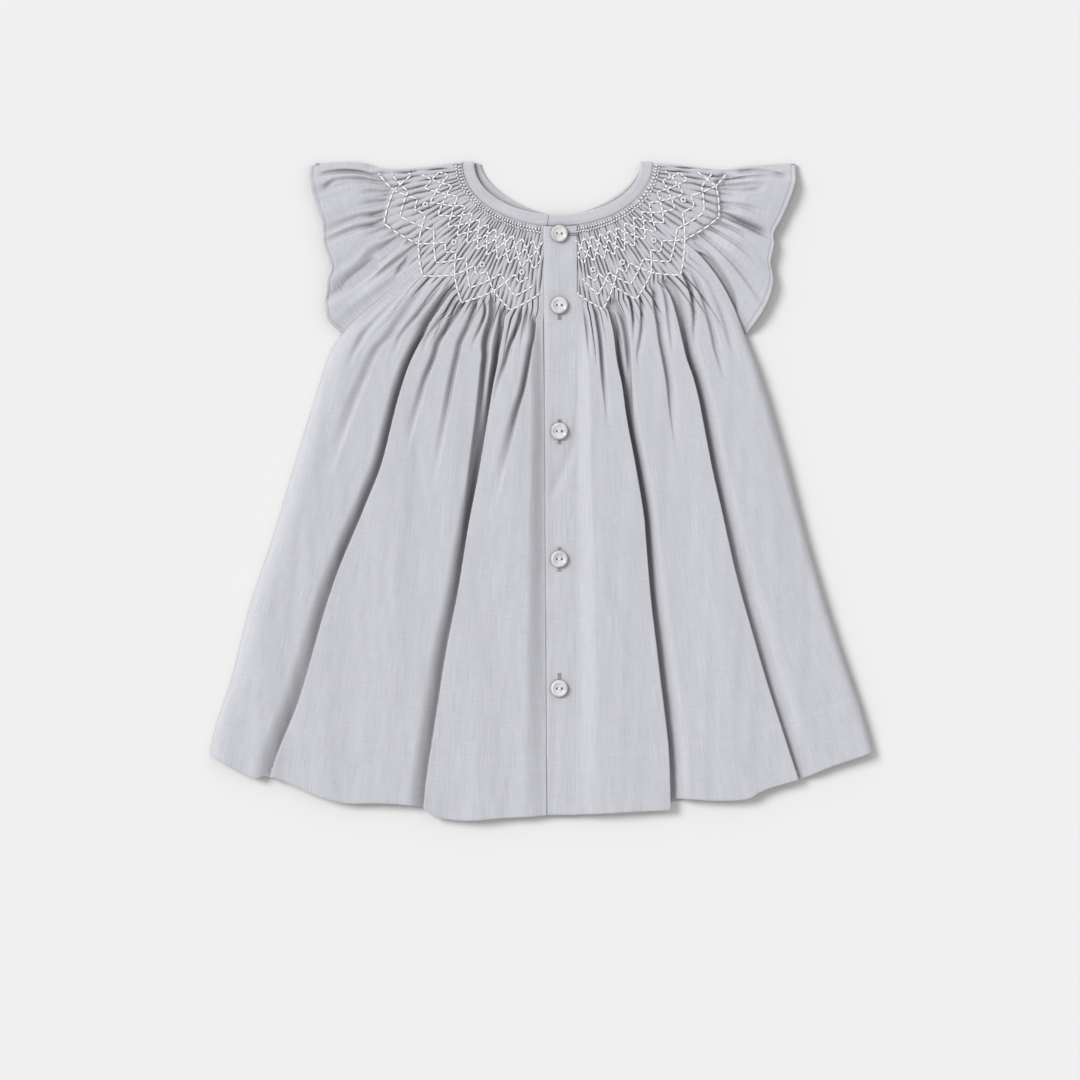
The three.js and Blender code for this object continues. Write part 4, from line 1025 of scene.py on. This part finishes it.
def build_placket(material):
    """The buttonhole strip, with turned long edges and a step at its seam."""
    levels = np.linspace(SEAM["drop"] + PLACKET_START, PLACKET_END, 270)[:, None]
    share = np.linspace(0, 1, 40)[None, :]
    left = -placket_edge(LEFT, levels)
    out = left + (PLACKET["right"] - left) * share
    round_top = np.sqrt(np.maximum(1 - (out / SEAM["across"]) ** 2, 0)) - 1
    drop = np.broadcast_to(levels, out.shape)
    drop = drop + levels * round_top * (1 - smooth((levels - 60) / 40))
    width = PLACKET["right"] + PLACKET["left"]
    (left_dip, left_width), (right_dip, right_width) = PLACKET_EDGES
    z = placket_height(out, drop) - left_dip * (1 - smooth(share * width / left_width))
    z = z - right_dip * (1 - smooth((1 - share) * width / right_width))
    top = place(RIGHT, out, drop, z)
    columns = [moved(top[:, :1], right, 0.0, -down) for right, down in PLACKET_LEFT_TURN]
    columns.append(top)
    columns += [moved(top[:, -1:], right, 0.0, -down) for right, down in PLACKET_RIGHT_TURN]
    points = np.concatenate(columns, axis=1)
    hems = [moved(points[-1:], 0.0, up, -down) for up, down in PLACKET_HEM_TURN]
    points = np.concatenate([points, *hems])
    uv = points[..., :2] * np.array([1.0, -1.0]) + np.array(PLACKET_WEAVE_SHIFT)
    faces = face_up(points, grid_faces(*points.shape[:2]))
    finish_piece(new_object("placket_cloth", points, faces, material, uv), "cloth", "placket")


def thread_path(points, radius, sides=6, taper=0.35):
    """Points and faces of one stitch: a short thread with narrowed, closed ends."""
    points = np.asarray(points, float)
    direction = np.gradient(points, axis=0)
    direction /= np.linalg.norm(direction, axis=1, keepdims=True)
    side = np.cross(direction, (0.0, 0.0, 1.0))
    side /= np.maximum(np.linalg.norm(side, axis=1, keepdims=True), 1e-6)
    up = np.cross(side, direction)
    count = len(points)
    place_along = np.linspace(-1, 1, count)
    width = radius * (1 - (1 - taper) * np.abs(place_along) ** 3)
    around = np.linspace(0, math.tau, sides, endpoint=False)
    ring = (
        points[:, None]
        + side[:, None] * (np.cos(around)[None, :, None] * width[:, None, None])
        + up[:, None] * (np.sin(around)[None, :, None] * width[:, None, None] * 0.7)
    )
    flat = ring.reshape(-1, 3)
    faces = []
    for i in range(count - 1):
        for j in range(sides):
            k = (j + 1) % sides
            faces.append([i * sides + j, i * sides + k, (i + 1) * sides + k, (i + 1) * sides + j])
    faces.append(list(range(sides))[::-1])
    faces.append(list(range((count - 1) * sides, count * sides)))
    return flat, faces


def join_threads(name, paths, radius, material, sides=6):
    """One object of many stitches."""
    all_points = []
    all_faces = []
    first = 0
    for path in paths:
        points, faces = thread_path(path, radius, sides)
        all_points.append(points)
        all_faces.extend([[first + i for i in face] for face in faces])
        first += len(points)
    obj = new_object(name, np.concatenate(all_points), all_faces, material)
    make_outward(obj)
    finish_piece(obj, "thread")


def yoke_point(side, turn, reach, sizes, lift):
    """A point on top of the smocked cloth at a turn round the neck and a reach from its seam."""
    across, tall = neck_ellipse(reach)
    out = across * math.sin(math.radians(turn))
    drop = tall * math.cos(math.radians(turn))
    past_raglan = max(turn - RAGLAN_TURN[side], 0.0) / (90.0 - RAGLAN_TURN[side])
    drop += float(shoulder_dip(side, out)) * past_raglan**2
    return place(side, out, drop, FLOOR - PLEAT_SINK + sizes.pleat_depth / MM + lift)


def arched(start, stop, shape, jitter=0.0):
    """One stitch: an arch between two points that dips into the cloth at both ends."""
    p = start + (stop - start) * shape["gap"]
    q = stop + (start - stop) * shape["gap"]
    middle = (p + q) / 2 + jitter + np.array([0, 0, shape["rise"]])
    ts = np.linspace(0, 1, shape["steps"])[:, None]
    path = (1 - ts) ** 2 * p + 2 * ts * (1 - ts) * middle + ts**2 * q
    path[[0, -1], 2] -= shape["sink"]
    return path


def stitch_line(side, knots, sizes, rng):
    """Stitches from ridge to ridge along a line of (turn, reach) knots."""
    turns, reaches = zip(*knots)
    numbers = pleat_number(side, np.array(turns))
    corners = [round(float(n), 3) for n in numbers]
    first = math.ceil(numbers[0] + 0.5) - 0.5
    ridges = [round(float(n), 3) for n in np.arange(first, numbers[-1] + 0.01, 1.0)]
    stops = sorted(set(ridges + corners))
    merged = [stops[0]]
    for stop in stops[1:]:
        if stop - merged[-1] > STOP_STEPS[0] or stop in corners:
            if stop - merged[-1] < STOP_STEPS[1] and merged[-1] not in corners:
                merged.pop()
            merged.append(stop)
    paths = []
    for a, b in zip(merged[:-1], merged[1:]):
        turn_a, turn_b = turn_of_pleat(side, np.array([a, b]))
        if turn_a > LAST_STITCH - 0.8 or turn_a < PLACKET_TURN[side] - 1.0:
            continue
        reach_a, reach_b = np.interp([a, b], numbers, reaches)
        start = yoke_point(side, turn_a, reach_a, sizes, STITCH_LIFT)
        if turn_b > LAST_STITCH:
            reach_b = reach_a + (reach_b - reach_a) * (LAST_STITCH - turn_a) / (turn_b - turn_a)
            turn_b = LAST_STITCH
        stop = yoke_point(side, turn_b, reach_b, sizes, STITCH_LIFT)
        jitter = rng.normal(0, 0.08, 3) * np.array([1, 1, 0.3])
        paths.append(arched(start, stop, WAVE_STITCH, jitter))
    return paths


def trellis_paths(side, sizes, rng):
    """Three zigzag rows that meet in diamonds under the neck seam."""
    paths = []
    top, high, low, bottom = TRELLIS[side]
    for start in np.arange(TRELLIS_START[side], TRELLIS_END * PLEATS_PER_SCALLOP, 3.0):
        halves = ((start, start + 1.5), (start + 1.5, start + 3.0))
        for near, far in ((top, high), (low, high), (low, bottom)):
            for half, reaches in zip(halves, ((near, far), (far, near))):
                turns = turn_of_pleat(side, np.array(half))
                if turns[1] > LAST_STITCH + 0.5:
                    continue
                ends = [yoke_point(side, *end, sizes, STITCH_LIFT) for end in zip(turns, reaches)]
                wobble = rng.normal(0, 0.12, (2, 3)) * np.array([1, 1, 0])
                first = ends[0] + wobble[0]
                last = ends[1] + wobble[1]
                middle = (first + last) / 2
                paths.append(arched(first, middle, TRELLIS_STITCH))
                paths.append(arched(middle, last, TRELLIS_STITCH))
    return paths


def smocking_paths(side, sizes):
    """Every embroidery stitch of one half: the trellis, two rows of scallops and a zigzag."""
    rng = np.random.default_rng(60 + side)
    table = SCALLOPS[side]
    paths = trellis_paths(side, sizes, rng)
    valleys = table["valley"]
    for row in (0, 1):
        knots = []
        for k, (tip, dimple) in enumerate(zip(table["tip"], table["dimple"])):
            if k % 2 == row:
                knots += [valleys[k], tip, valleys[k + 1]]
                continue
            left = dimple[0] - SMALL_V_HALF * (tip[0] - valleys[k][0]) / SMALL_V_SHARE
            right = dimple[0] + SMALL_V_HALF * (valleys[k + 1][0] - tip[0]) / SMALL_V_SHARE
            top = dimple[1] - SMALL_V_TALL
            knots += [(left, top), dimple, (right, top)]
        paths += stitch_line(side, sorted(set(knots)), sizes, rng)
    knots = [table["peak"][0]]
    for inner, peak in zip(table["inner"], table["peak"][1:]):
        knots += [inner, peak]
    return paths + stitch_line(side, knots, sizes, rng)


def cable_paths(side, sizes):
    """Two close rows of small seed-like stitches under the neck band."""
    rng = np.random.default_rng(70 + side)
    shape = CABLE_STITCH
    paths = []
    for row, reach in enumerate(CABLE_ROWS):
        number = shape["first"] + 0.5 * row
        while True:
            turns = turn_of_pleat(side, np.array([number, number + shape["length"]]))
            number += 1.0
            if turns[0] > LAST_STITCH:
                break
            if turns[0] > PLACKET_TURN[side] + shape["clear"]:
                p, q = [yoke_point(side, turn, reach + rng.normal(0, shape["wander"]), sizes, shape["lift"])
                        for turn in turns]
                path = p + (q - p) * np.linspace(0, 1, 4)[:, None]
                path[1:-1, 2] += shape["rise"]
                paths.append(path)
    return paths


def rosette_paths(side, sizes):
    """A small ring, wound twice, at the top of each scallop."""
    paths = []
    for turn, reach in SCALLOPS[side]["rosette"]:
        centre = yoke_point(side, turn, reach, sizes, 0.3)
        for radius, start in RING_TURNS:
            high = np.array([0, 0, 0.25 * (RING_TURNS[0][0] - radius)])
            for k in range(RING_STITCHES):
                angles = start + math.tau * (k + np.linspace(0.0, 0.98, 6)) / RING_STITCHES
                ring = np.stack([np.cos(angles), np.sin(angles), np.zeros(6)], axis=-1) * radius
                paths.append(centre + ring + high)
    return paths


def tack(a, b, rise):
    """A short stitch between two points, raised in its middle."""
    return np.stack([a, (a + b) / 2 + np.array([0, 0, rise]), b])


def seam_dot_paths(side):
    """The row of needle marks where the neck band is sewn on."""
    paths = []
    across, tall = neck_ellipse(SEAM_MARK["reach"])
    first = math.degrees(math.asin(PLACKET["left_at_hem"] / across))
    step = math.degrees(SEAM_STITCH / across)
    for turn in np.arange(first if side == LEFT else -first, SEAM_MARK["last"], step):
        ends = np.radians([turn, turn + step * SEAM_MARK["share"]])
        a, b = place(side, across * np.sin(ends), tall * np.cos(ends), SEAM_MARK["height"])
        paths.append(tack(a, b, SEAM_MARK["rise"]))
    return paths


def buttonhole_paths(hole):
    """Close bar stitches along both lips and both ends of a buttonhole."""
    shape = BAR_STITCH
    half = hole["length"] / 2
    bars = []
    for t in np.arange(-half, half, shape["step"]):
        for edge in (-1, 1):
            bars.append([(t, edge * shape["slit"]), (t + shape["slant"], edge * shape["lip"])])
    for end in (-half, half):
        for t in np.arange(-shape["lip"], shape["lip"], shape["end"]):
            bars.append([(end - shape["end"], t), (end + shape["end"], t)])
    paths = []
    for bar in bars:
        ends = []
        for along, beside in bar:
            out, drop = (beside, along) if hole["along"] else (along, beside)
            z = PLACKET["top"] + shape["lift"]
            ends.append(place(RIGHT, hole["out"] + out, hole["drop"] + drop, z))
        paths.append(tack(*ends, shape["rise"]))
    return paths


def button_thread_paths(drop):
    """Thread between the two holes of a button."""
    ts = np.linspace(-1, 1, 9)
    out = BUTTON_OUT + BUTTON_THREAD["half"] * ts
    rise = BUTTON_THREAD["rise"] * (1 - ts**4) - np.abs(ts) ** 8
    return [place(RIGHT, out, np.full(9, drop + shift), BUTTON_FACE + rise)
            for shift in BUTTON_THREAD["shifts"]]


def hem_stitch_paths(side):
    """The stitched line near the edge of a sleeve's upper leaf."""
    shape = SLEEVE_STITCH
    across = np.linspace(shape["first"], shape["last"], shape["count"])
    travel = np.full_like(across, 1.0 + SLEEVE_HEM_TURN)
    out, drop = sleeve_plan(side, across, travel)
    points = place(side, out, drop, sleeve_height(side, across, travel, 1.0) + shape["lift"])
    return [points[i:i + 2] for i in range(0, len(points) - 1, 2)]


def node_tree(name):
    material = bpy.data.materials.new(name)
    material.use_nodes = True
    tree = material.node_tree
    tree.nodes.clear()
    output = tree.nodes.new("ShaderNodeOutputMaterial")
    shader = tree.nodes.new("ShaderNodeBsdfPrincipled")
    tree.links.new(shader.outputs["BSDF"], output.inputs["Surface"])
    return material, tree, shader


def add_math(tree, operation, a, b):
    node = tree.nodes.new("ShaderNodeMath")
    node.operation = operation
    for socket, value in zip(node.inputs, (a, b)):
        if hasattr(value, "is_output"):
            tree.links.new(value, socket)
        else:
            socket.default_value = value
    return node.outputs[0]


def scaled_noise(tree, vector, scale, detail, roughness=0.5):
    """Noise over a vector that is stretched by three factors first."""
    mapping = tree.nodes.new("ShaderNodeMapping")
    mapping.vector_type = "POINT"
    mapping.inputs["Scale"].default_value = scale
    noise = tree.nodes.new("ShaderNodeTexNoise")
    noise.inputs["Scale"].default_value = 1.0
    noise.inputs["Detail"].default_value = detail
    noise.inputs["Roughness"].default_value = roughness
    tree.links.new(vector, mapping.inputs["Vector"])
    tree.links.new(mapping.outputs["Vector"], noise.inputs["Vector"])
    return noise.outputs["Fac"]


def colour_ramp(tree, factor, *stops):
    """Colours between two stops, each a position and a colour."""
    ramp = tree.nodes.new("ShaderNodeValToRGB")
    for element, (position, colour) in zip(ramp.color_ramp.elements, stops):
        element.position = position
        element.color = colour
    tree.links.new(factor, ramp.inputs["Fac"])
    return ramp.outputs["Color"]


def shades(colour, dark, light):
    """A darker and a lighter shade of a colour, no lighter than white."""
    base = np.array(colour[:3])
    return [(*np.minimum(base * factor, 1.0), 1.0) for factor in (dark, light)]


def add_bump(tree, shader, height, strength, distance):
    bump = tree.nodes.new("ShaderNodeBump")
    bump.inputs["Strength"].default_value = strength
    bump.inputs["Distance"].default_value = distance
    tree.links.new(height, bump.inputs["Height"])
    tree.links.new(bump.outputs["Normal"], shader.inputs["Normal"])


def weave_bands(tree, vector, direction):
    bands = tree.nodes.new("ShaderNodeTexWave")
    bands.wave_type = "BANDS"
    bands.bands_direction = direction
    bands.inputs["Scale"].default_value = WEAVE_SCALE
    tree.links.new(vector, bands.inputs["Vector"])
    return bands.outputs["Fac"]


def set_inputs(node, values):
    for name, value in values.items():
        node.inputs[name].default_value = value


def cloth_material(colours):
    """Plain woven cotton: slubby warp and weft threads, soft sheen, matt, with painted shade darkening its
    folds.
    """
    material, tree, shader = node_tree("woven_cotton")
    uv = tree.nodes.new("ShaderNodeUVMap")
    uv.uv_map = "cloth"
    vector = uv.outputs["UV"]
    streaks = None
    for weight, scale, detail in THREAD_NOISE:
        part = add_math(tree, "MULTIPLY", scaled_noise(tree, vector, scale, detail), weight)
        streaks = part if streaks is None else add_math(tree, "ADD", streaks, part)
    dark, light = shades(colours.cloth, 0.86, 1.15)
    # Painted shade: ambient occlusion darkens the cloth's colour towards the deep-fold colour in folds,
    # creases and gaps.
    painted_fold_shade = tree.nodes.new("ShaderNodeAmbientOcclusion")
    painted_fold_shade.samples = 6
    painted_fold_shade.inputs["Distance"].default_value = PAINTED_SHADE_REACH
    colour_with_painted_shade = tree.nodes.new("ShaderNodeVectorMath")
    colour_with_painted_shade.operation = "MULTIPLY"
    tree.links.new(colour_ramp(tree, streaks, (0.42, dark), (0.8, light)), colour_with_painted_shade.inputs[0])
    # Ramp of the painted shade: fully occluded cloth takes the deep-fold colour, open cloth keeps its own.
    fold = colour_ramp(tree, painted_fold_shade.outputs["AO"], (0.3, colours.fold), (0.92, WHITE))
    tree.links.new(fold, colour_with_painted_shade.inputs[1])
    tree.links.new(colour_with_painted_shade.outputs["Vector"], shader.inputs["Base Color"])
    weave = [weave_bands(tree, vector, direction) for direction in "XY"]
    threads = add_math(tree, "MULTIPLY", *weave)
    relief = add_math(tree, "ADD", add_math(tree, "MULTIPLY", threads, 0.4), streaks)
    add_bump(tree, shader, relief, 0.35, 0.0002)
    set_inputs(shader, {
        "Roughness": 0.88, "Specular IOR Level": 0.25, "Sheen Weight": 0.12, "Sheen Roughness": 0.5})
    return material


def thread_material(name, colour):
    """Stranded embroidery thread with a fine twist."""
    material, tree, shader = node_tree(name)
    coordinates = tree.nodes.new("ShaderNodeTexCoord")
    noise = scaled_noise(tree, coordinates.outputs["Object"], (900.0, 900.0, 900.0), 2.0)
    dark, light = shades(colour, 0.94, 1.0)
    tree.links.new(colour_ramp(tree, noise, (0.3, dark), (0.7, light)), shader.inputs["Base Color"])
    add_bump(tree, shader, noise, 0.4, 0.0001)
    set_inputs(shader, {"Roughness": 0.6, "Specular IOR Level": 0.3})
    return material


def pearl_material(colours):
    """Pearly button: cloudy layers under a polished face."""
    material, tree, shader = node_tree("pearl")
    coordinates = tree.nodes.new("ShaderNodeTexCoord")
    cloud = scaled_noise(tree, coordinates.outputs["Object"], (260.0, 150.0, 200.0), 4.0, 0.6)
    dark, light = shades(colours.button, 0.78, 1.1)
    tree.links.new(colour_ramp(tree, cloud, (0.35, dark), (0.62, light)), shader.inputs["Base Color"])
    set_inputs(shader, {"Roughness": 0.22, "Coat Weight": 0.6, "Coat Roughness": 0.12})
    return material


def length(name, default, least, description):
    """A length in metres."""
    return bpy.props.FloatProperty(
        name=name, default=default, min=least, description=description, unit="LENGTH")


def amount(name, default, least, description):
    return bpy.props.FloatProperty(name=name, default=default, min=least, description=description)


def count(name, default, least, description):
    return bpy.props.IntProperty(name=name, default=default, min=least, description=description)


def colour(name, rgb, description):
    return bpy.props.FloatVectorProperty(
        name=name, default=(*rgb, 1.0), min=0.0, max=1.0, description=description,
        subtype="COLOR", size=4)


class DressSizes(bpy.types.PropertyGroup):
    """Sizes of the cloth and its stitches."""

    pleat_depth: length("Pleat depth", 0.0021, 0.0, "Height of the smocked pleats over their valleys")
    rumple: amount("Rumple", 1.0, 0.0, "How uneven the cloth lies between its folds")
    columns: count("Panel columns", 320, 40, "Mesh columns across each back panel")
    sleeve_columns: count("Sleeve columns", 190, 30, "Mesh columns across a sleeve's upper leaf")
    yoke_step: length("Yoke step", 0.0006, 0.0002, "Distance between mesh rows in the smocking")
    skirt_step: length("Skirt step", 0.0016, 0.0004, "Distance between mesh rows in the skirt")
    back_flat_width: length("Back width", 0.29, 0.05, "Width each back panel was cut to")
    thread: length("Thread", 0.00052, 0.0001, "Radius of the embroidery thread")


class DressColours(bpy.types.PropertyGroup):
    """Colours of the dress and its floor."""

    cloth: colour("Cloth", (0.575, 0.58, 0.615), "Colour of the woven cotton")
    # Painted shade: the colour the cloth is darkened to at the bottom of its folds and creases.
    fold: colour("Deep folds", (0.36, 0.33, 0.345), "Tint of the cloth at the bottom of its folds")
    thread: colour("Thread", (1.0, 1.0, 0.985), "Colour of the embroidery thread")
    knot: colour("Knot", (0.82, 0.82, 0.81), "Colour of the small wound knots")
    sewing: colour("Sewing thread", (0.36, 0.355, 0.38), "Colour of the neck seam's thread")
    tonal: colour("Tonal thread", (0.48, 0.48, 0.51), "Colour of the thread that matches the cloth")
    button: colour("Button", (0.72, 0.72, 0.72), "Colour of the pearly buttons")
    floor: colour("Floor", (0.86, 0.86, 0.86), "Colour of the plain floor")


class DressStage(bpy.types.PropertyGroup):
    """Camera and light."""

    camera_height: length("Camera height", 1.8, 0.1, "Height of the camera over the table")
    lens: amount("Lens", 100.0, 10.0, "Focal length of the camera in millimetres")
    key_strength: amount("Key light", 2.1, 0.0, "Strength of the soft light from the upper left")
    key_softness: amount("Key softness", 26.0, 0.0, "Angle in degrees that the soft light fills")
    ambient: amount("Surrounding light", 0.565, 0.0, "Strength of the white surroundings")


class DRESS_OT_back_panels(bpy.types.Operator):
    """Build both back panels with their smocking pleats, gathers and folds"""

    bl_idname = "dress.back_panels"
    bl_label = "Back Panels"

    def execute(self, context):
        sizes = context.scene.dress_sizes
        for side in (LEFT, RIGHT):
            build_back(side, sizes, cloth_of(context))
        return {"FINISHED"}


class DRESS_OT_sleeves(bpy.types.Operator):
    """Build both flutter sleeves"""

    bl_idname = "dress.sleeves"
    bl_label = "Sleeves"

    def execute(self, context):
        for side in (LEFT, RIGHT):
            build_sleeve(side, context.scene.dress_sizes, cloth_of(context))
        return {"FINISHED"}


class DRESS_OT_front(bpy.types.Operator):
    """Build the lower panel that lies on the table"""

    bl_idname = "dress.front"
    bl_label = "Front"

    def execute(self, context):
        build_front(cloth_of(context))
        return {"FINISHED"}


class DRESS_OT_neck_band(bpy.types.Operator):
    """Build the band round the neck"""

    bl_idname = "dress.neck_band"
    bl_label = "Neck Band"

    def execute(self, context):
        build_neck_band(cloth_of(context))
        return {"FINISHED"}


class DRESS_OT_placket(bpy.types.Operator):
    """Build the buttonhole placket"""

    bl_idname = "dress.placket"
    bl_label = "Placket"

    def execute(self, context):
        build_placket(cloth_of(context))
        return {"FINISHED"}


class DRESS_OT_smocking(bpy.types.Operator):
    """Embroider the smocking over the pleats"""

    bl_idname = "dress.smocking"
    bl_label = "Smocking Stitches"

    def execute(self, context):
        sizes = context.scene.dress_sizes
        colours = context.scene.dress_colours
        material = material_of("embroidery_thread", colours.thread)
        knot = material_of("knot_thread", colours.knot)
        for side in (LEFT, RIGHT):
            name = SIDE_NAMES[side]
            radius = sizes.thread / MM
            join_threads(f"smocking_{name}", smocking_paths(side, sizes), radius, material)
            join_threads(f"cable_stitches_{name}", cable_paths(side, sizes), radius * CABLE_SHARE, material)
            join_threads(f"rosettes_{name}", rosette_paths(side, sizes), radius * RING_SHARE, knot)
        return {"FINISHED"}


class DRESS_OT_buttons(bpy.types.Operator):
    """Finish the buttons and their thread"""

    bl_idname = "dress.buttons"
    bl_label = "Buttons"

    def execute(self, context):
        colours = context.scene.dress_colours
        pearl = pearl_material(colours)
        bright = material_of("embroidery_thread", colours.thread)
        tonal = material_of("tonal_thread", colours.tonal)
        for index, drop in enumerate(BUTTON_DROPS, start=1):
            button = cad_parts[f"button_{index}"]
            button.data.materials.clear()
            button.data.materials.append(pearl)
            join_threads(f"button_thread_{index}", button_thread_paths(drop), THREADS["button"], bright)
            hole = BUTTONHOLES[index - 1]
            join_threads(f"buttonhole_{index}", buttonhole_paths(hole), THREADS["buttonhole"], tonal, 5)
        return {"FINISHED"}


class DRESS_OT_seams(bpy.types.Operator):
    """Sew the neck seam and the edges of the sleeves"""

    bl_idname = "dress.seams"
    bl_label = "Seam Stitches"

    def execute(self, context):
        colours = context.scene.dress_colours
        sewing = material_of("sewing_thread", colours.sewing)
        tonal = material_of("tonal_thread", colours.tonal)
        for side in (LEFT, RIGHT):
            name = SIDE_NAMES[side]
            join_threads(f"neck_seam_{name}", seam_dot_paths(side), THREADS["seam"], sewing, 5)
            join_threads(f"sleeve_hem_{name}", hem_stitch_paths(side), THREADS["sleeve"], tonal, 5)
        return {"FINISHED"}


class DRESS_OT_stage(bpy.types.Operator):
    """Set the floor, the light, the surroundings and the camera straight above the dress"""

    bl_idname = "dress.stage"
    bl_label = "Stage"

    def execute(self, context):
        scene = context.scene
        stage = scene.dress_stage
        bpy.ops.mesh.primitive_plane_add(size=FLOOR_SIZE, location=(0, 0, -FLOOR_DROP))
        floor = context.object
        floor.name = "floor"
        material, _, shader = node_tree("pale_floor")
        shader.inputs["Base Color"].default_value = scene.dress_colours.floor
        shader.inputs["Roughness"].default_value = 0.9
        floor.data.materials.append(material)
        lamp = bpy.data.lights.new("key", "SUN")
        lamp.angle = math.radians(stage.key_softness)
        lamp.energy = stage.key_strength
        light = bpy.data.objects.new("key", lamp)
        light.location = KEY_PLACE
        light.rotation_euler = Vector(-light.location).to_track_quat("-Z", "Y").to_euler()
        scene.collection.objects.link(light)
        world = scene.world or bpy.data.worlds.new("surroundings")
        scene.world = world
        world.use_nodes = True
        background = world.node_tree.nodes["Background"]
        set_inputs(background, {"Color": WHITE, "Strength": stage.ambient})
        lens = bpy.data.cameras.new("camera")
        lens.lens = stage.lens
        lens.sensor_width = 36.0
        lens.clip_end = 20.0
        camera = bpy.data.objects.new("camera", lens)
        camera.location = (*DRESS_MIDDLE, stage.camera_height)
        scene.collection.objects.link(camera)
        scene.camera = camera
        scene.view_settings.view_transform = "Standard"
        return {"FINISHED"}


def cloth_of(context):
    """The cloth material, made once."""
    return bpy.data.materials.get("woven_cotton") or cloth_material(context.scene.dress_colours)


def material_of(name, colour):
    return bpy.data.materials.get(name) or thread_material(name, colour)


class DRESS_PT_panel(bpy.types.Panel):
    """Lists the dress's pieces and sizes"""

    bl_label = "Smocked Dress"
    bl_idname = "DRESS_PT_panel"
    bl_space_type = "VIEW_3D"
    bl_region_type = "UI"
    bl_category = "Dress"

    def draw(self, context):
        layout = self.layout
        for group in ("dress_sizes", "dress_colours", "dress_stage"):
            settings = getattr(context.scene, group)
            for name in settings.__annotations__:
                layout.prop(settings, name)
        for operator in OPERATORS:
            layout.operator(operator.bl_idname)


OPERATORS = (
    DRESS_OT_front,
    DRESS_OT_back_panels,
    DRESS_OT_sleeves,
    DRESS_OT_neck_band,
    DRESS_OT_placket,
    DRESS_OT_smocking,
    DRESS_OT_seams,
    DRESS_OT_buttons,
    DRESS_OT_stage,
)
CLASSES = (DressSizes, DressColours, DressStage, *OPERATORS, DRESS_PT_panel)


def register():
    for cls in CLASSES:
        bpy.utils.register_class(cls)
    bpy.types.Scene.dress_sizes = bpy.props.PointerProperty(type=DressSizes)
    bpy.types.Scene.dress_colours = bpy.props.PointerProperty(type=DressColours)
    bpy.types.Scene.dress_stage = bpy.props.PointerProperty(type=DressStage)


def unregister():
    for name in ("dress_sizes", "dress_colours", "dress_stage"):
        delattr(bpy.types.Scene, name)
    for cls in reversed(CLASSES):
        bpy.utils.unregister_class(cls)


def main():
    register()
    for operator in OPERATORS:
        group, name = operator.bl_idname.split(".")
        getattr(getattr(bpy.ops, group), name)()


if __name__ == "__main__":
    main()
